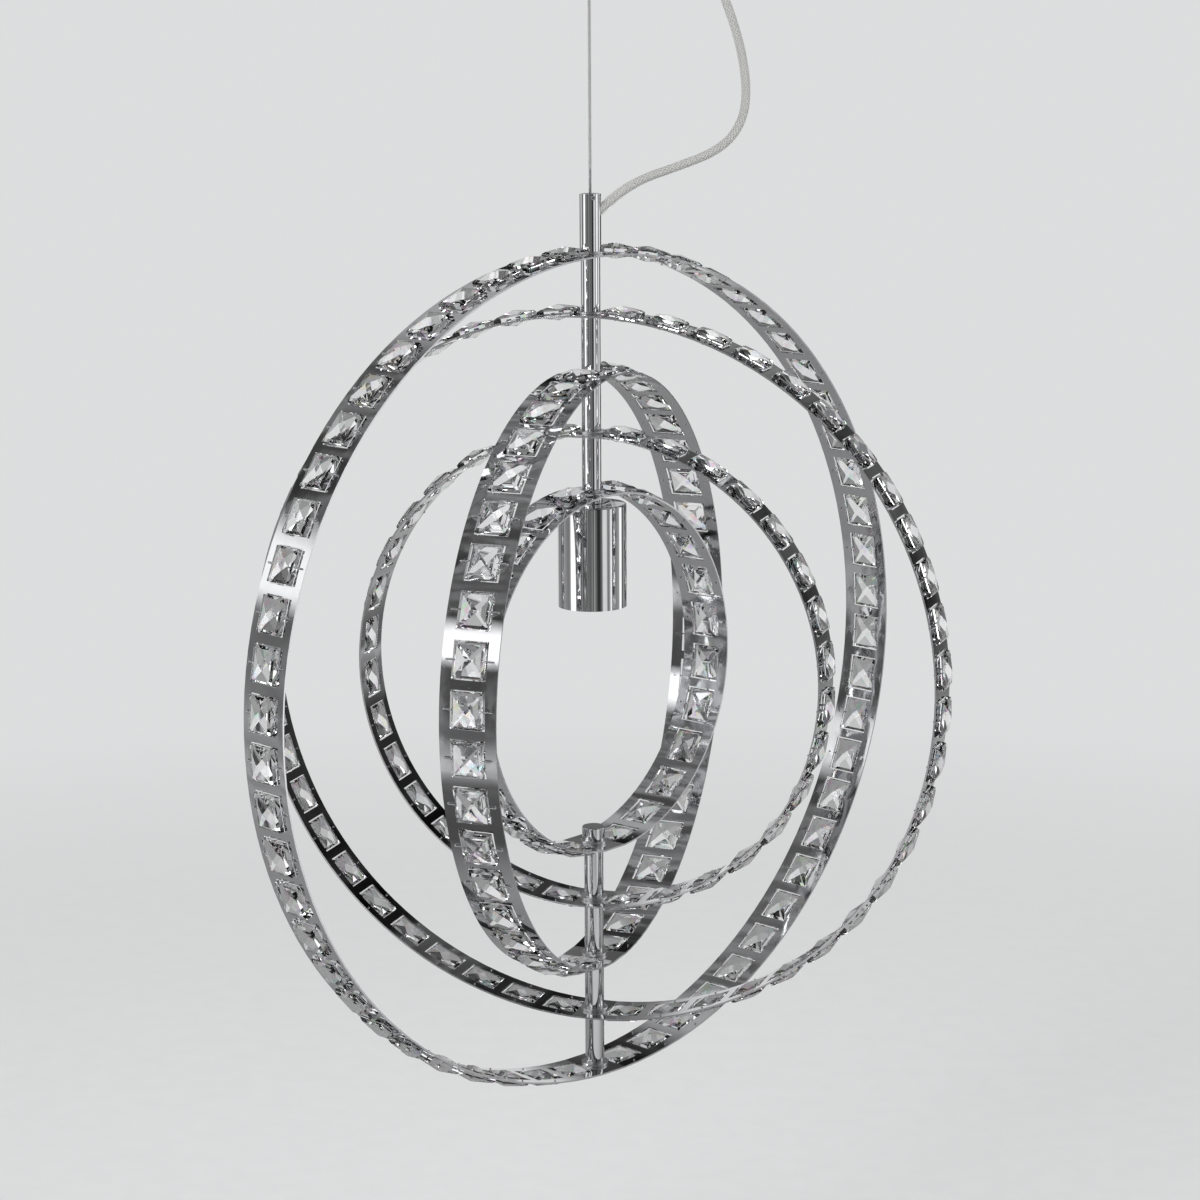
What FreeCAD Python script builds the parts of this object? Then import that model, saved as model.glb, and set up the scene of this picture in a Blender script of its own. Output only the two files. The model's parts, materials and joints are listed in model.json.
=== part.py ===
import FreeCAD, Part
import Sketcher
import math
import os

# Orb chandelier: five nested bands set with square crystals, threaded on one vertical stem that hangs
# from a ceiling canopy on a steel wire. A second, lower stem joins the bands at their lowest points.
# Origin: centre of the ceiling bracket's top face. +Z is up, so the whole object lies below z = 0.

doc = FreeCAD.newDocument("orb_chandelier")
Vector = FreeCAD.Vector
Rotation = FreeCAD.Rotation

# Driving dimensions, in millimetres and degrees
SIZES = {
    "drop": 620,                # ceiling to the common centre of the bands
    "ring_diameter": 580,       # outermost band, at mid thickness
    "ring_step": 41,            # radius lost from one band to the next
    "band_width": 40,
    "band_thickness": 1.2,
    "land_margin": 1,           # flat left beyond the widest washer where a stem passes through
    "bridge_least": 6.1,        # least metal left between two windows
    "yaw_1": 44,                # how far each band is turned about the stem
    "yaw_2": -19,
    "yaw_3": 67.5,
    "yaw_4": -17.5,
    "yaw_5": 49,
    "crystal_length": 23.9,     # along the band
    "crystal_width": 22,
    "crystal_depth": 11,        # from apex to apex
    "crystal_girdle": 3.2,      # upright edge between the two faceted sides
    "crystal_bevel": 1.2,       # height of the narrow facets beside the girdle
    "crystal_bevel_in": 1.8,    # how far those facets lean in
    "crystal_table": 1.2,       # side of the small flat at each apex
    "window_gap_along": 0.8,    # from a crystal to the edge of its window
    "window_gap_across": 1.25,
    "pin_diameter": 1.2,
    "pin_depth": 2,             # how far a pin enters the crystal's side
    "pin_inset": 3.3,           # band's edge to a pin's hole
    "pin_lift": 0.4,            # gap between a pin and the band's outer face
    "pin_tail": 1,              # left standing out of the band's inner face
    "rod_diameter": 10,
    "rod_wall": 1.3,            # of the hollow upper rod
    "turn_fit": 0.08,           # radial clearance of a band on its rod
    "turn_gap": 0.1,            # between a band and each face that clamps it
    "thread_fit": 0.05,         # radial clearance of whatever is screwed or pushed in
    "tube_play": 0.3,           # radial gap between the rod and the tubes on it
    "tube_wall": 1.45,
    "upper_washer_rim": 2.75,   # how far a washer stands out from the tubes
    "upper_washer_thickness": 1.2,
    "lower_washer_rim": 2.75,
    "lower_washer_thickness": 1.8,
    "top_tube_wall": 1.2,
    "top_tube_length": 39,
    "bush_wall": 1.2,
    "bush_height": 12,
    "rod_above_seat": 19,       # how far the upper rod stands up inside the top tube
    "plug_height": 5.2,
    "plug_screw_diameter": 3,
    "plug_screw_length": 3.6,
    "plug_screw_turn": 16,      # from the front towards +X
    "plug_screw_recess": 0.6,
    "hex_socket": 1.5,
    "wire_diameter": 2,
    "wire_stop_wall": 1.3,
    "wire_stop_height": 2.4,
    "sleeve_wall": 0.35,
    "sleeve_start": 16.5,       # above the top tube
    "canopy_diameter": 120,
    "canopy_height": 28,
    "canopy_wall": 1,
    "canopy_round": 4,
    "bracket_width": 20,
    "bracket_thickness": 2.5,
    "bracket_drop": 10,
    "bracket_foot": 20,
    "screw_spacing": 70,        # between the two ceiling screws
    "screw_hole": 5.2,
    "nipple_top": 4,            # below the ceiling
    "nut_height": 4.5,
    "nut_wall": 2,              # from the thread to a flat
    "gripper_wall": 1.95,
    "gripper_round": 1.5,
    "gripper_height": 20,
    "gripper_thread": 8,
    "plunger_wall": 1.95,
    "plunger_round": 0.5,
    "plunger_height": 7,
    "plunger_out": 4,           # part of the plunger below the gripper
    "gland_inset": 12,          # cover's edge to the gland's axis
    "gland_thread_wall": 2.35,
    "gland_shoulder": 1.7,      # how far the gland's body stands out from its thread
    "gland_round": 3,
    "gland_below": 12,
    "gland_above": 8,
    "gland_nut_height": 3,
    "gland_nut_wall": 1.05,     # from the thread to a flat
    "cord_diameter": 6.6,
    "cord_fit": 0.15,
    "cord_tilt": 43,            # the cord climbs this steeply out of the top tube
    "cord_inside": 6,           # length of cord inside the top tube
    "grommet_wall": 0.6,
    "grommet_out": 3,
    "grommet_below_plug": 0.4,
    "lead_diameter": 2,
    "lead_gap_in_rod": 0.4,     # between two of the three leads
    "lead_gap_in_cord": 0.1,
    "block_length": 26,
    "block_width": 20,
    "block_height": 12,
    "block_offset": 26,
    "pole_spacing": 8,
    "pole_play": 0.3,           # radial gap round a lead in its brass sleeve
    "pole_wall": 0.9,
    "cup_nut_wall": 2.45,
    "cup_nut_round": 0.6,
    "cup_nut_height": 7,
    "cup_gap": 3.7,             # between the cup and the lampholder
    "cup_height": 72,
    "cup_wall": 1,
    "cup_round": 1.2,
    "holder_recess": 9,         # lampholder's rim above the cup's rim
    "holder_diameter": 38.6,
    "holder_cap_height": 16,
    "holder_top": 3,
    "holder_neck": 6,
    "holder_neck_wall": 2.45,
    "holder_round": 2.6,
    "holder_wall": 1.3,
    "holder_ledge": 2.6,        # skirt wall below the insert
    "insert_height": 13,
    "insert_in_skirt": 6,
    "lamp_thread": 26.6,
    "lamp_shell_wall": 0.5,
    "lamp_shell_length": 28,
    "contact_diameter": 8,
    "contact_height": 3.5,
    "contact_round": 1.2,
    "contact_sunk": 0.3,        # contact's tip above the foot of the porcelain
    "contact_gap": 0.5,         # round the contact in its well
    "terminal_side": 5,
    "terminal_height": 3.2,
    "terminal_gap": 0.5,        # from the cap's neck to a terminal's inner face
    "lead_above_insert": 1.6,
    "end_cap_wall": 3.2,
    "end_cap_height": 10,
    "end_cap_round": 0.8,
    "end_cap_thread": 7,
    "bottom_nut_wall": 4.95,
    "bottom_nut_height": 3.6,
    "bottom_nut_round": 2,
    "bottom_nut_thread": 2.4,
}
RINGS = (1, 2, 3, 4, 5)

sheet = doc.addObject("Spreadsheet::Sheet", "Sizes")
for row, (alias, value) in enumerate(SIZES.items(), 1):
    sheet.set(f"A{row}", alias)
    sheet.set(f"B{row}", str(value))
    sheet.setAlias(f"B{row}", alias)
doc.recompute()
CELLS = {alias: "Sizes." + alias for alias in SIZES}
nodes = []


def size(alias):
    return float(sheet.get(alias))


def bind(obj, **formulas):
    """Tie properties to formulas, in which {name} is a cell of the sheet and __ in a property is a dot."""
    for name, text in formulas.items():
        obj.setExpression(name.replace("__", "."), text.format(**CELLS))


def stand(obj, x="0", y="0", z="0"):
    """Put an object where three formulas say."""
    bind(obj, Placement__Base__x=x, Placement__Base__y=y, Placement__Base__z=z)
    return obj


def keep(obj, label):
    """Take an object as a finished piece with this name."""
    obj.Label = label
    nodes.append(obj)
    return obj


def origin_part(body, role):
    return next(item for item in body.Origin.OriginFeatures if item.Role == role)


def new_sketch(body, plane):
    sketch = body.newObject("Sketcher::SketchObject", "Sketch")
    sketch.AttachmentSupport = [(origin_part(body, plane), "")]
    sketch.MapMode = "FlatFace"
    return sketch


def tie(sketch, constraint, formula):
    """Add a dimension to a sketch and bind it to a formula."""
    index = sketch.addConstraint(constraint)
    sketch.setExpression(f"Constraints[{index}]", formula.format(**CELLS))


def coordinate(sketch, direction, axis, line, formula):
    """Hold the start of a line at a signed distance from an axis of the sketch."""
    if formula == "0":
        sketch.addConstraint(Sketcher.Constraint("PointOnObject", line, 1, axis))
    elif formula.startswith("-"):
        tie(sketch, Sketcher.Constraint(direction, line, 1, -1, 1, 1), formula[1:])
    else:
        tie(sketch, Sketcher.Constraint(direction, -1, 1, line, 1, 1), formula)


probe = doc.addObject("Part::Box", "Probe")


def solve(formula):
    """The number that a formula comes to with the sheet's present sizes."""
    bind(probe, Placement__Base__x=formula)
    probe.recompute()
    return probe.Placement.Base.x


def polygon(sketch, points):
    """Draw a closed outline whose corners lie where pairs of formulas say."""
    guess = [Vector(solve(x), solve(y), 0) for x, y in points]
    for start, end in zip(guess, guess[1:] + guess[:1]):
        sketch.addGeometry(Part.LineSegment(start, end))
    for line, (x, y) in enumerate(points):
        sketch.addConstraint(Sketcher.Constraint("Coincident", line, 2, (line + 1) % len(points), 1))
        coordinate(sketch, "DistanceX", -2, line, x)
        coordinate(sketch, "DistanceY", -1, line, y)


def turned(name, outline, z, rounds=()):
    """A body turned about the vertical axis from an outline of (radius, height) corners.

    Each of rounds is a corner's number and the radius of its rounding.
    """
    body = doc.addObject("PartDesign::Body", name)
    sketch = new_sketch(body, "XZ_Plane")
    polygon(sketch, outline)
    solid = body.newObject("PartDesign::Revolution", "Turned")
    solid.Profile = sketch
    solid.ReferenceAxis = (sketch, ["V_Axis"])
    solid.Angle = 360
    stand(body, z=z)
    doc.recompute()
    for corner, radius in rounds:
        solid = round_off(body, solid, [solve(text) for text in outline[corner]], radius)
    return body


def round_off(body, solid, place, radius):
    """Fillet the circular edge that has a given radius and height in the body's own frame."""
    names = []
    for number, edge in enumerate(solid.Shape.Edges, 1):
        curve = edge.Curve
        if isinstance(curve, Part.Circle) and math.dist((curve.Radius, curve.Center.z), place) < 1e-4:
            names.append(f"Edge{number}")
    fillet = body.newObject("PartDesign::Fillet", "Round")
    fillet.Base = (solid, names)
    bind(fillet, Radius=radius)
    doc.recompute()
    return fillet


def tube_outline(outer, inner, height):
    return [(inner, "0"), (outer, "0"), (outer, height), (inner, height)]


def cylinder(radius, height, x="0", y="0", z="0", turn=None):
    """A round bar standing on a point; turn is an axis and the angle about it."""
    bar = doc.addObject("Part::Cylinder", "Bar")
    if turn:
        bar.Placement.Rotation = Rotation(turn[0], 1)
        bind(bar, Placement__Rotation__Angle=turn[1])
    bind(bar, Radius=radius, Height=height)
    return stand(bar, x, y, z)


def block(length, width, height, x="0", y="0", z="0"):
    """A box centred on a point in plan and standing on it."""
    box = doc.addObject("Part::Box", "Block")
    bind(box, Length=length, Width=width, Height=height)
    return stand(box, f"{x} - {length} / 2", f"{y} - {width} / 2", z)


def hexagon(inner_radius, height, x="0", y="0", z="0"):
    """A six-sided bar; inner_radius is from its axis to the middle of a flat."""
    prism = doc.addObject("Part::Prism", "Hexagon")
    prism.Polygon = 6
    bind(prism, Circumradius=f"{inner_radius} / cos(30)", Height=height)
    return stand(prism, x, y, z)


def fuse(*parts):
    whole = doc.addObject("Part::MultiFuse", "Joined")
    whole.Shapes = list(parts)
    return whole


def cut(base, *tools):
    """Take every tool away from a piece."""
    result = doc.addObject("Part::Cut", "Cut")
    result.Base = base
    result.Tool = tools[0] if len(tools) == 1 else fuse(*tools)
    return result


def group(parts):
    """Separate solids of one kind that share a node."""
    together = doc.addObject("Part::Compound", "Group")
    together.Links = parts
    return together


def run_along(points, diameter, share=0.45):
    """A round cord on straight runs and tangent arcs through a list of points.

    Each arc takes the given share of the shorter run beside its point.
    """
    edges = []
    radii = []
    start = points[0]
    for before, corner, after in zip(points, points[1:], points[2:]):
        come = (corner - before).normalize()
        leave = (after - corner).normalize()
        turn = come.getAngle(leave)
        reach = share * min((corner - before).Length, (after - corner).Length)
        radius = reach / math.tan(turn / 2)
        radii.append(radius)
        first = corner - come * reach
        last = corner + leave * reach
        inward = (leave - come).normalize()
        middle = corner + inward * (radius / math.cos(turn / 2) - radius)
        edges.append(Part.LineSegment(start, first).toShape())
        edges.append(Part.Arc(first, middle, last).toShape())
        start = last
    edges.append(Part.LineSegment(start, points[-1]).toShape())
    path = Part.Wire(edges)
    section = Part.Wire(Part.Circle(points[0], points[1] - points[0], diameter / 2).toShape())
    solid = path.makePipeShell([section], True, False)
    expected = math.pi * diameter ** 2 / 4 * path.Length
    print(f"path {path.Length:.1f} mm, least radius {min(radii):.1f} mm,",
          f"volume over section times length {solid.Volume / expected:.4f}")
    return solid


def set_shape(name, shape, **placement):
    """An object whose shape is worked out in code from sizes in the sheet."""
    feature = doc.addObject("Part::Feature", name)
    feature.Shape = shape
    stand(feature, **placement)
    return feature


# Heights of the stack, each written from the common centre of the bands

HALF_BAND = "{band_thickness} / 2"
ROD = "{rod_diameter} / 2"
ROD_BORE = "({rod_diameter} / 2 - {rod_wall})"
ROD_IN_THREAD = "({rod_diameter} / 2 + {thread_fit})"
TUBE_BORE = "({rod_diameter} / 2 + {tube_play})"
TUBE = "({rod_diameter} / 2 + {tube_play} + {tube_wall})"
STEM_LAND = f"(2 * ({TUBE} + {{lower_washer_rim}} + {{land_margin}}))"
WINDOW_LENGTH = "({crystal_length} + 2 * {window_gap_along})"
WINDOW_WIDTH = "({crystal_width} + 2 * {window_gap_across})"
PIN_REACH = "({band_width} / 2 - {pin_inset})"


def at(height):
    """Height above the common centre of the bands, as a height in the part's frame."""
    return f"{height} - {{drop}}"


def radius_of(ring):
    return f"({{ring_diameter}} / 2 - {ring - 1} * {{ring_step}})"


def crossing(ring):
    """Height of a band's flat, at mid thickness, where a stem passes through it."""
    return f"sqrt({radius_of(ring)}^2 - ({STEM_LAND} / 2)^2)"


def above_band(ring, washer):
    """Top of the washer that lies on a band at its upper crossing."""
    return f"{crossing(ring)} + {HALF_BAND} + {{turn_gap}} + {washer}"


def between(ring, washer):
    """Length of the tube between a band and the next smaller one."""
    return (f"({crossing(ring)} - {crossing(ring + 1)}"
            f" - {{band_thickness}} - 2 * {{turn_gap}} - 2 * {washer})")


# Ceiling parts: a strap bracket, a threaded nipple through the cover, and a gripper for the wire

COVER_FLOOR = "-{canopy_height}"
GLAND_X = "({canopy_diameter} / 2 - {gland_inset})"
CORD_IN_GLAND = "({cord_diameter} / 2 + {cord_fit})"
GLAND_THREAD = f"({CORD_IN_GLAND} + {{gland_thread_wall}})"
WIRE_PASSAGE = "({wire_diameter} / 2 + {thread_fit})"


def make_bracket():
    """Strap bent like a top hat: its feet lie on the ceiling, its middle carries the nipple."""
    body = doc.addObject("PartDesign::Body", "Bracket")
    sketch = new_sketch(body, "XZ_Plane")
    end = "({screw_spacing} / 2 + {bracket_foot} / 2)"
    knee = "({screw_spacing} / 2 - {bracket_foot} / 2)"
    inner_knee = "({screw_spacing} / 2 - {bracket_foot} / 2 - {bracket_thickness})"
    polygon(sketch, [
        (f"-{end}", "0"),
        (f"-{end}", "-{bracket_thickness}"),
        (f"-{knee}", "-{bracket_thickness}"),
        (f"-{knee}", "-({bracket_drop} + {bracket_thickness})"),
        (knee, "-({bracket_drop} + {bracket_thickness})"),
        (knee, "-{bracket_thickness}"),
        (end, "-{bracket_thickness}"),
        (end, "0"),
        (inner_knee, "0"),
        (inner_knee, "-{bracket_drop}"),
        (f"-{inner_knee}", "-{bracket_drop}"),
        (f"-{inner_knee}", "0"),
    ])
    strap = body.newObject("PartDesign::Pad", "Strap")
    strap.Profile = sketch
    strap.Midplane = True
    bind(strap, Length="{bracket_width}")
    doc.recompute()
    circles = new_sketch(body, "XY_Plane")
    for side in (-1, 1):
        hole = circles.addGeometry(Part.Circle(Vector(side * size("screw_spacing") / 2, 0, 0),
                                               Vector(0, 0, 1), size("screw_hole") / 2))
        circles.addConstraint(Sketcher.Constraint("PointOnObject", hole, 3, -1))
        ends = (-1, 1, hole, 3) if side > 0 else (hole, 3, -1, 1)
        tie(circles, Sketcher.Constraint("DistanceX", *ends, 1), "{screw_spacing} / 2")
        tie(circles, Sketcher.Constraint("Radius", hole, 1), "{screw_hole} / 2")
    middle = circles.addGeometry(Part.Circle(Vector(0, 0, 0), Vector(0, 0, 1), size("rod_diameter") / 2))
    circles.addConstraint(Sketcher.Constraint("Coincident", middle, 3, -1, 1))
    tie(circles, Sketcher.Constraint("Radius", middle, 1), ROD_IN_THREAD)
    holes = body.newObject("PartDesign::Pocket", "Holes")
    holes.Profile = circles
    holes.Midplane = True
    bind(holes, Length="3 * ({bracket_drop} + {bracket_thickness})")
    return keep(body, "ceiling_bracket")


def make_canopy():
    wall = "{canopy_wall}"
    outer = "{canopy_diameter} / 2"
    inner = "({canopy_diameter} / 2 - {canopy_wall})"
    cover = turned("Cover", [(ROD_IN_THREAD, "0"), (outer, "0"), (outer, "{canopy_height}"),
                             (inner, "{canopy_height}"), (inner, wall), (ROD_IN_THREAD, wall)],
                   COVER_FLOOR, [(1, "{canopy_round}"), (4, "{canopy_round} - {canopy_wall}")])
    gland_hole = cylinder(f"{GLAND_THREAD} + {{thread_fit}}", "3 * {canopy_wall}", x=GLAND_X,
                          z=f"{COVER_FLOOR} - {{canopy_wall}}")
    keep(cut(cover, gland_hole), "canopy_cover")
    length = "({canopy_height} - {nipple_top} + {gripper_thread})"
    nipple = turned("Nipple", tube_outline(ROD, ROD_BORE, length),
                    f"{COVER_FLOOR} - {{gripper_thread}}")
    keep(nipple, "mounting_nipple")


def make_gripper():
    """Wire gripper screwed on the nipple under the cover, with its release plunger."""
    outer = f"({ROD_IN_THREAD} + {{gripper_wall}})"
    plunger_outer = f"({WIRE_PASSAGE} + {{plunger_wall}})"
    bore = f"({plunger_outer} + {{thread_fit}})"
    step = "({gripper_height} - {gripper_thread})"
    body = turned("Gripper", [(bore, "0"), (outer, "0"), (outer, "{gripper_height}"),
                              (ROD_IN_THREAD, "{gripper_height}"), (ROD_IN_THREAD, step), (bore, step)],
                  f"{COVER_FLOOR} - {{gripper_height}}", [(1, "{gripper_round}")])
    keep(body, "wire_gripper")
    plunger = turned("Plunger", tube_outline(plunger_outer, WIRE_PASSAGE, "{plunger_height}"),
                     f"{COVER_FLOOR} - {{gripper_height}} - {{plunger_out}}", [(1, "{plunger_round}")])
    keep(plunger, "gripper_plunger")


def make_gland():
    """Strain relief that holds the cord where it enters the cover."""
    outer = f"({GLAND_THREAD} + {{gland_shoulder}})"
    top = "({gland_below} + {gland_above})"
    gland = turned("Gland", [(CORD_IN_GLAND, "0"), (outer, "0"), (outer, "{gland_below}"),
                             (GLAND_THREAD, "{gland_below}"), (GLAND_THREAD, top), (CORD_IN_GLAND, top)],
                   f"{COVER_FLOOR} - {{gland_below}}", [(1, "{gland_round}")])
    stand(gland, x=GLAND_X, z=f"{COVER_FLOOR} - {{gland_below}}")
    keep(gland, "cord_gland")
    seat = f"{COVER_FLOOR} + {{canopy_wall}}"
    nut = hexagon(f"({GLAND_THREAD} + {{thread_fit}} + {{gland_nut_wall}})", "{gland_nut_height}",
                  x=GLAND_X, z=seat)
    hole = cylinder(f"{GLAND_THREAD} + {{thread_fit}}", "{gland_nut_height}", x=GLAND_X, z=seat)
    keep(cut(nut, hole), "gland_nut")


def nut_at(z):
    hexagon_bar = hexagon(f"({ROD_IN_THREAD} + {{nut_wall}})", "{nut_height}", z=z)
    return cut(hexagon_bar, cylinder(ROD_IN_THREAD, "{nut_height}", z=z))


def make_rod_nuts():
    """Three equal hexagon nuts: over and under the strap, and inside the lamp cup."""
    keep(group([
        nut_at("-{bracket_drop}"),
        nut_at("-{bracket_drop} - {bracket_thickness} - {nut_height}"),
        nut_at(at(f"{CUP_TOP} - {{cup_wall}} - {{nut_height}}")),
    ]), "rod_nuts")


POLES = ("-{pole_spacing}", "0", "{pole_spacing}")
BLOCK_SEAT = f"{COVER_FLOOR} + {{canopy_wall}}"
POLE_HEIGHT = f"{COVER_FLOOR} + {{canopy_wall}} + {{block_height}} / 2"
POLE_BORE = "({lead_diameter} / 2 + {pole_play})"
POLE = "({lead_diameter} / 2 + {pole_play} + {pole_wall})"


def make_terminal_block():
    """Three-way connector on the cover's floor, with a brass sleeve for each lead."""
    body = block("{block_width}", "{block_length}", "{block_height}", y="{block_offset}", z=BLOCK_SEAT)
    sleeves = []
    holes = []
    for pole in POLES:
        across = {"x": "-{block_width} / 2", "y": f"{{block_offset}} + {pole}", "z": POLE_HEIGHT}
        along_x = (Vector(0, 1, 0), "90")
        holes.append(cylinder(f"{POLE} + {{thread_fit}}", "{block_width}", turn=along_x, **across))
        bar = cylinder(POLE, "{block_width}", turn=along_x, **across)
        bore = cylinder(POLE_BORE, "{block_width}", turn=along_x, **across)
        sleeves.append(cut(bar, bore))
    keep(cut(body, *holes), "terminal_block")
    keep(group(sleeves), "terminal_sleeves")


# Suspension: the wire ends in a stop inside a plug, which a grub screw holds in the top tube

TOP_TUBE_BORE = f"({ROD_IN_THREAD} + {{bush_wall}} + {{thread_fit}})"
TOP_TUBE = f"({TOP_TUBE_BORE} + {{top_tube_wall}})"
TOP_TUBE_FOOT = above_band(1, "{upper_washer_thickness}")
TOP_TUBE_END = f"({TOP_TUBE_FOOT} + {{top_tube_length}})"
PLUG_FOOT = f"({TOP_TUBE_END} - {{plug_height}})"
SLEEVE_FOOT = f"({TOP_TUBE_END} + {{sleeve_start}})"
PLUNGER_FOOT = "({drop} - {canopy_height} - {gripper_height} - {plunger_out})"
WIRE_END = "({drop} - 2 * {nipple_top})"
WIRE_STOP = "({wire_diameter} / 2 + {wire_stop_wall})"
GROMMET = f"({CORD_IN_GLAND} + {{grommet_wall}})"
CORD_HOLE = (f"({PLUG_FOOT} - {{grommet_below_plug}} - {GROMMET} / cos({{cord_tilt}})"
             " + {top_tube_wall} * tan({cord_tilt}))")


def along_cord(radius, start, length):
    """A bar on the cord's line through the top tube's wall, from start inside the tube's outer face."""
    return cylinder(radius, length, x=f"{TOP_TUBE} - {start} * cos({{cord_tilt}})",
                    z=at(f"{CORD_HOLE} - {start} * sin({{cord_tilt}})"),
                    turn=(Vector(0, 1, 0), "90 - {cord_tilt}"))


def along_screw(radius, tip, length):
    """A bar on the grub screw's axis, from its tip beside the wire outwards."""
    bar = cylinder(radius, length, x=f"{tip} * sin({{plug_screw_turn}})",
                   y=f"-{tip} * cos({{plug_screw_turn}})", z=at(f"{TOP_TUBE_END} - {{plug_height}} / 2"))
    forward = Rotation(Vector(0, 0, 1), size("plug_screw_turn")) * Rotation(Vector(1, 0, 0), 90)
    bar.Placement.Rotation = forward
    return bar


def make_suspension():
    wire_length = f"({WIRE_END} - {PLUG_FOOT})"
    wire = cylinder("{wire_diameter} / 2", wire_length, z=at(PLUG_FOOT))
    keep(wire, "suspension_wire")
    stop = turned("Stop", tube_outline(WIRE_STOP, "{wire_diameter} / 2", "{wire_stop_height}"),
                  at(PLUG_FOOT))
    keep(stop, "wire_stop")
    sleeve = turned("Sleeve", tube_outline(f"({WIRE_PASSAGE} + {{sleeve_wall}})", WIRE_PASSAGE,
                                           f"({PLUNGER_FOOT} - {SLEEVE_FOOT})"), at(SLEEVE_FOOT))
    keep(sleeve, "wire_sleeve")


SCREW_TIP = f"({TOP_TUBE} - {{plug_screw_recess}} - {{plug_screw_length}})"


def make_top_tube():
    """Tube over the outermost band, with its plug above, its threaded bush below and the cord's hole."""
    pipe = turned("TopTube", tube_outline(TOP_TUBE, TOP_TUBE_BORE, "{top_tube_length}"), at(TOP_TUBE_FOOT))
    side_hole = along_cord(f"{GROMMET} + {{thread_fit}}", TOP_TUBE, f"2 * {TOP_TUBE}")
    screw_hole = along_screw("{plug_screw_diameter} / 2 + {thread_fit}", SCREW_TIP, f"2 * {TOP_TUBE}")
    keep(cut(pipe, side_hole, screw_hole), "top_tube")
    outer = f"({TOP_TUBE_BORE} - {{thread_fit}})"
    pocket = f"({WIRE_STOP} + {{thread_fit}})"
    plug = turned("Plug", [(pocket, "0"), (outer, "0"), (outer, "{plug_height}"),
                           (WIRE_PASSAGE, "{plug_height}"), (WIRE_PASSAGE, "{wire_stop_height}"),
                           (pocket, "{wire_stop_height}")], at(PLUG_FOOT))
    seat = along_screw("{plug_screw_diameter} / 2 + {thread_fit}", SCREW_TIP, f"2 * {TOP_TUBE}")
    keep(cut(plug, seat), "top_tube_plug")
    screw = along_screw("{plug_screw_diameter} / 2", SCREW_TIP, "{plug_screw_length}")
    socket = along_screw("{hex_socket} / 2", f"({SCREW_TIP} + {{plug_screw_length}} / 2)",
                         "{plug_screw_length}")
    keep(cut(screw, socket), "plug_grub_screw")
    bush = turned("Bush", tube_outline(outer, ROD_IN_THREAD, "{bush_height}"), at(TOP_TUBE_FOOT))
    keep(bush, "top_tube_bush")


# Upper stem: a hollow rod through every band's upper crossing, with a tube between each two bands

UPPER_WASHER = "{upper_washer_thickness}"
ROD_TOP = f"({TOP_TUBE_FOOT} + {{rod_above_seat}})"
CUP_TOP = f"({crossing(5)} - {HALF_BAND} - {{turn_gap}} - {{cup_nut_height}})"
HOLDER_TOP = f"({CUP_TOP} - {{cup_wall}} - {{nut_height}})"
ROD_FOOT = f"({HOLDER_TOP} - {{holder_neck}})"


def stem_tube(ring, washer, foot):
    return turned("Tube", tube_outline(TUBE, TUBE_BORE, between(ring, washer)), foot)


def washer_at(rim, thickness, foot):
    return turned("Washer", tube_outline(f"({TUBE} + {rim})", ROD_IN_THREAD, thickness), foot)


def make_upper_stem():
    rod = turned("Rod", tube_outline(ROD, ROD_BORE, f"({ROD_TOP} - {ROD_FOOT})"), at(ROD_FOOT))
    keep(rod, "upper_stem_rod")
    washers = []
    for ring in RINGS:
        over = f"{crossing(ring)} + {HALF_BAND} + {{turn_gap}}"
        under = f"{crossing(ring)} - {HALF_BAND} - {{turn_gap}} - {UPPER_WASHER}"
        washers.append(washer_at("{upper_washer_rim}", UPPER_WASHER, at(over)))
        if ring == RINGS[-1]:
            continue
        washers.append(washer_at("{upper_washer_rim}", UPPER_WASHER, at(under)))
        foot = at(above_band(ring + 1, UPPER_WASHER))
        keep(stem_tube(ring, UPPER_WASHER, foot), f"upper_stem_tube_{ring}")
    keep(group(washers), "upper_stem_washers")
    nut = turned("CupNut", tube_outline(f"({ROD_IN_THREAD} + {{cup_nut_wall}})", ROD_IN_THREAD,
                                        "{cup_nut_height}"),
                 at(CUP_TOP), [(1, "{cup_nut_round}"), (2, "{cup_nut_round}")])
    keep(nut, "cup_nut")


# Lamp cup and the screw-base lampholder inside it

HOLDER = "{holder_diameter} / 2"
INSERT = "({holder_diameter} / 2 - {holder_wall} - {thread_fit})"
INSERT_SEAT = "({holder_diameter} / 2 - {holder_wall})"
LEDGE = "({holder_diameter} / 2 - {holder_ledge})"
CAP_FOOT = f"({HOLDER_TOP} - {{holder_cap_height}})"
INSERT_FOOT = f"({CAP_FOOT} - {{insert_in_skirt}})"
INSERT_TOP = f"({INSERT_FOOT} + {{insert_height}})"
SKIRT_FOOT = f"({CUP_TOP} - {{cup_height}} + {{holder_recess}})"
SHELL_OUTER = "({lamp_thread} / 2 + {lamp_shell_wall})"
NECK = f"({ROD_IN_THREAD} + {{holder_neck_wall}})"
TERMINAL_RADIUS = f"({NECK} + {{terminal_gap}})"
LEAD_TURNS = (180, 60, -60)


def make_lamp_cup():
    """Deep cylinder, open below, clamped between the cup nut and the nut inside it."""
    inner = f"({HOLDER} + {{cup_gap}})"
    outer = f"({HOLDER} + {{cup_gap}} + {{cup_wall}})"
    deck = "({cup_height} - {cup_wall})"
    cup = turned("Cup", [(inner, "0"), (outer, "0"), (outer, "{cup_height}"),
                         (ROD_IN_THREAD, "{cup_height}"), (ROD_IN_THREAD, deck), (inner, deck)],
                 at(f"{CUP_TOP} - {{cup_height}}"), [(2, "{cup_round}")])
    keep(cup, "lamp_cup")


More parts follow.
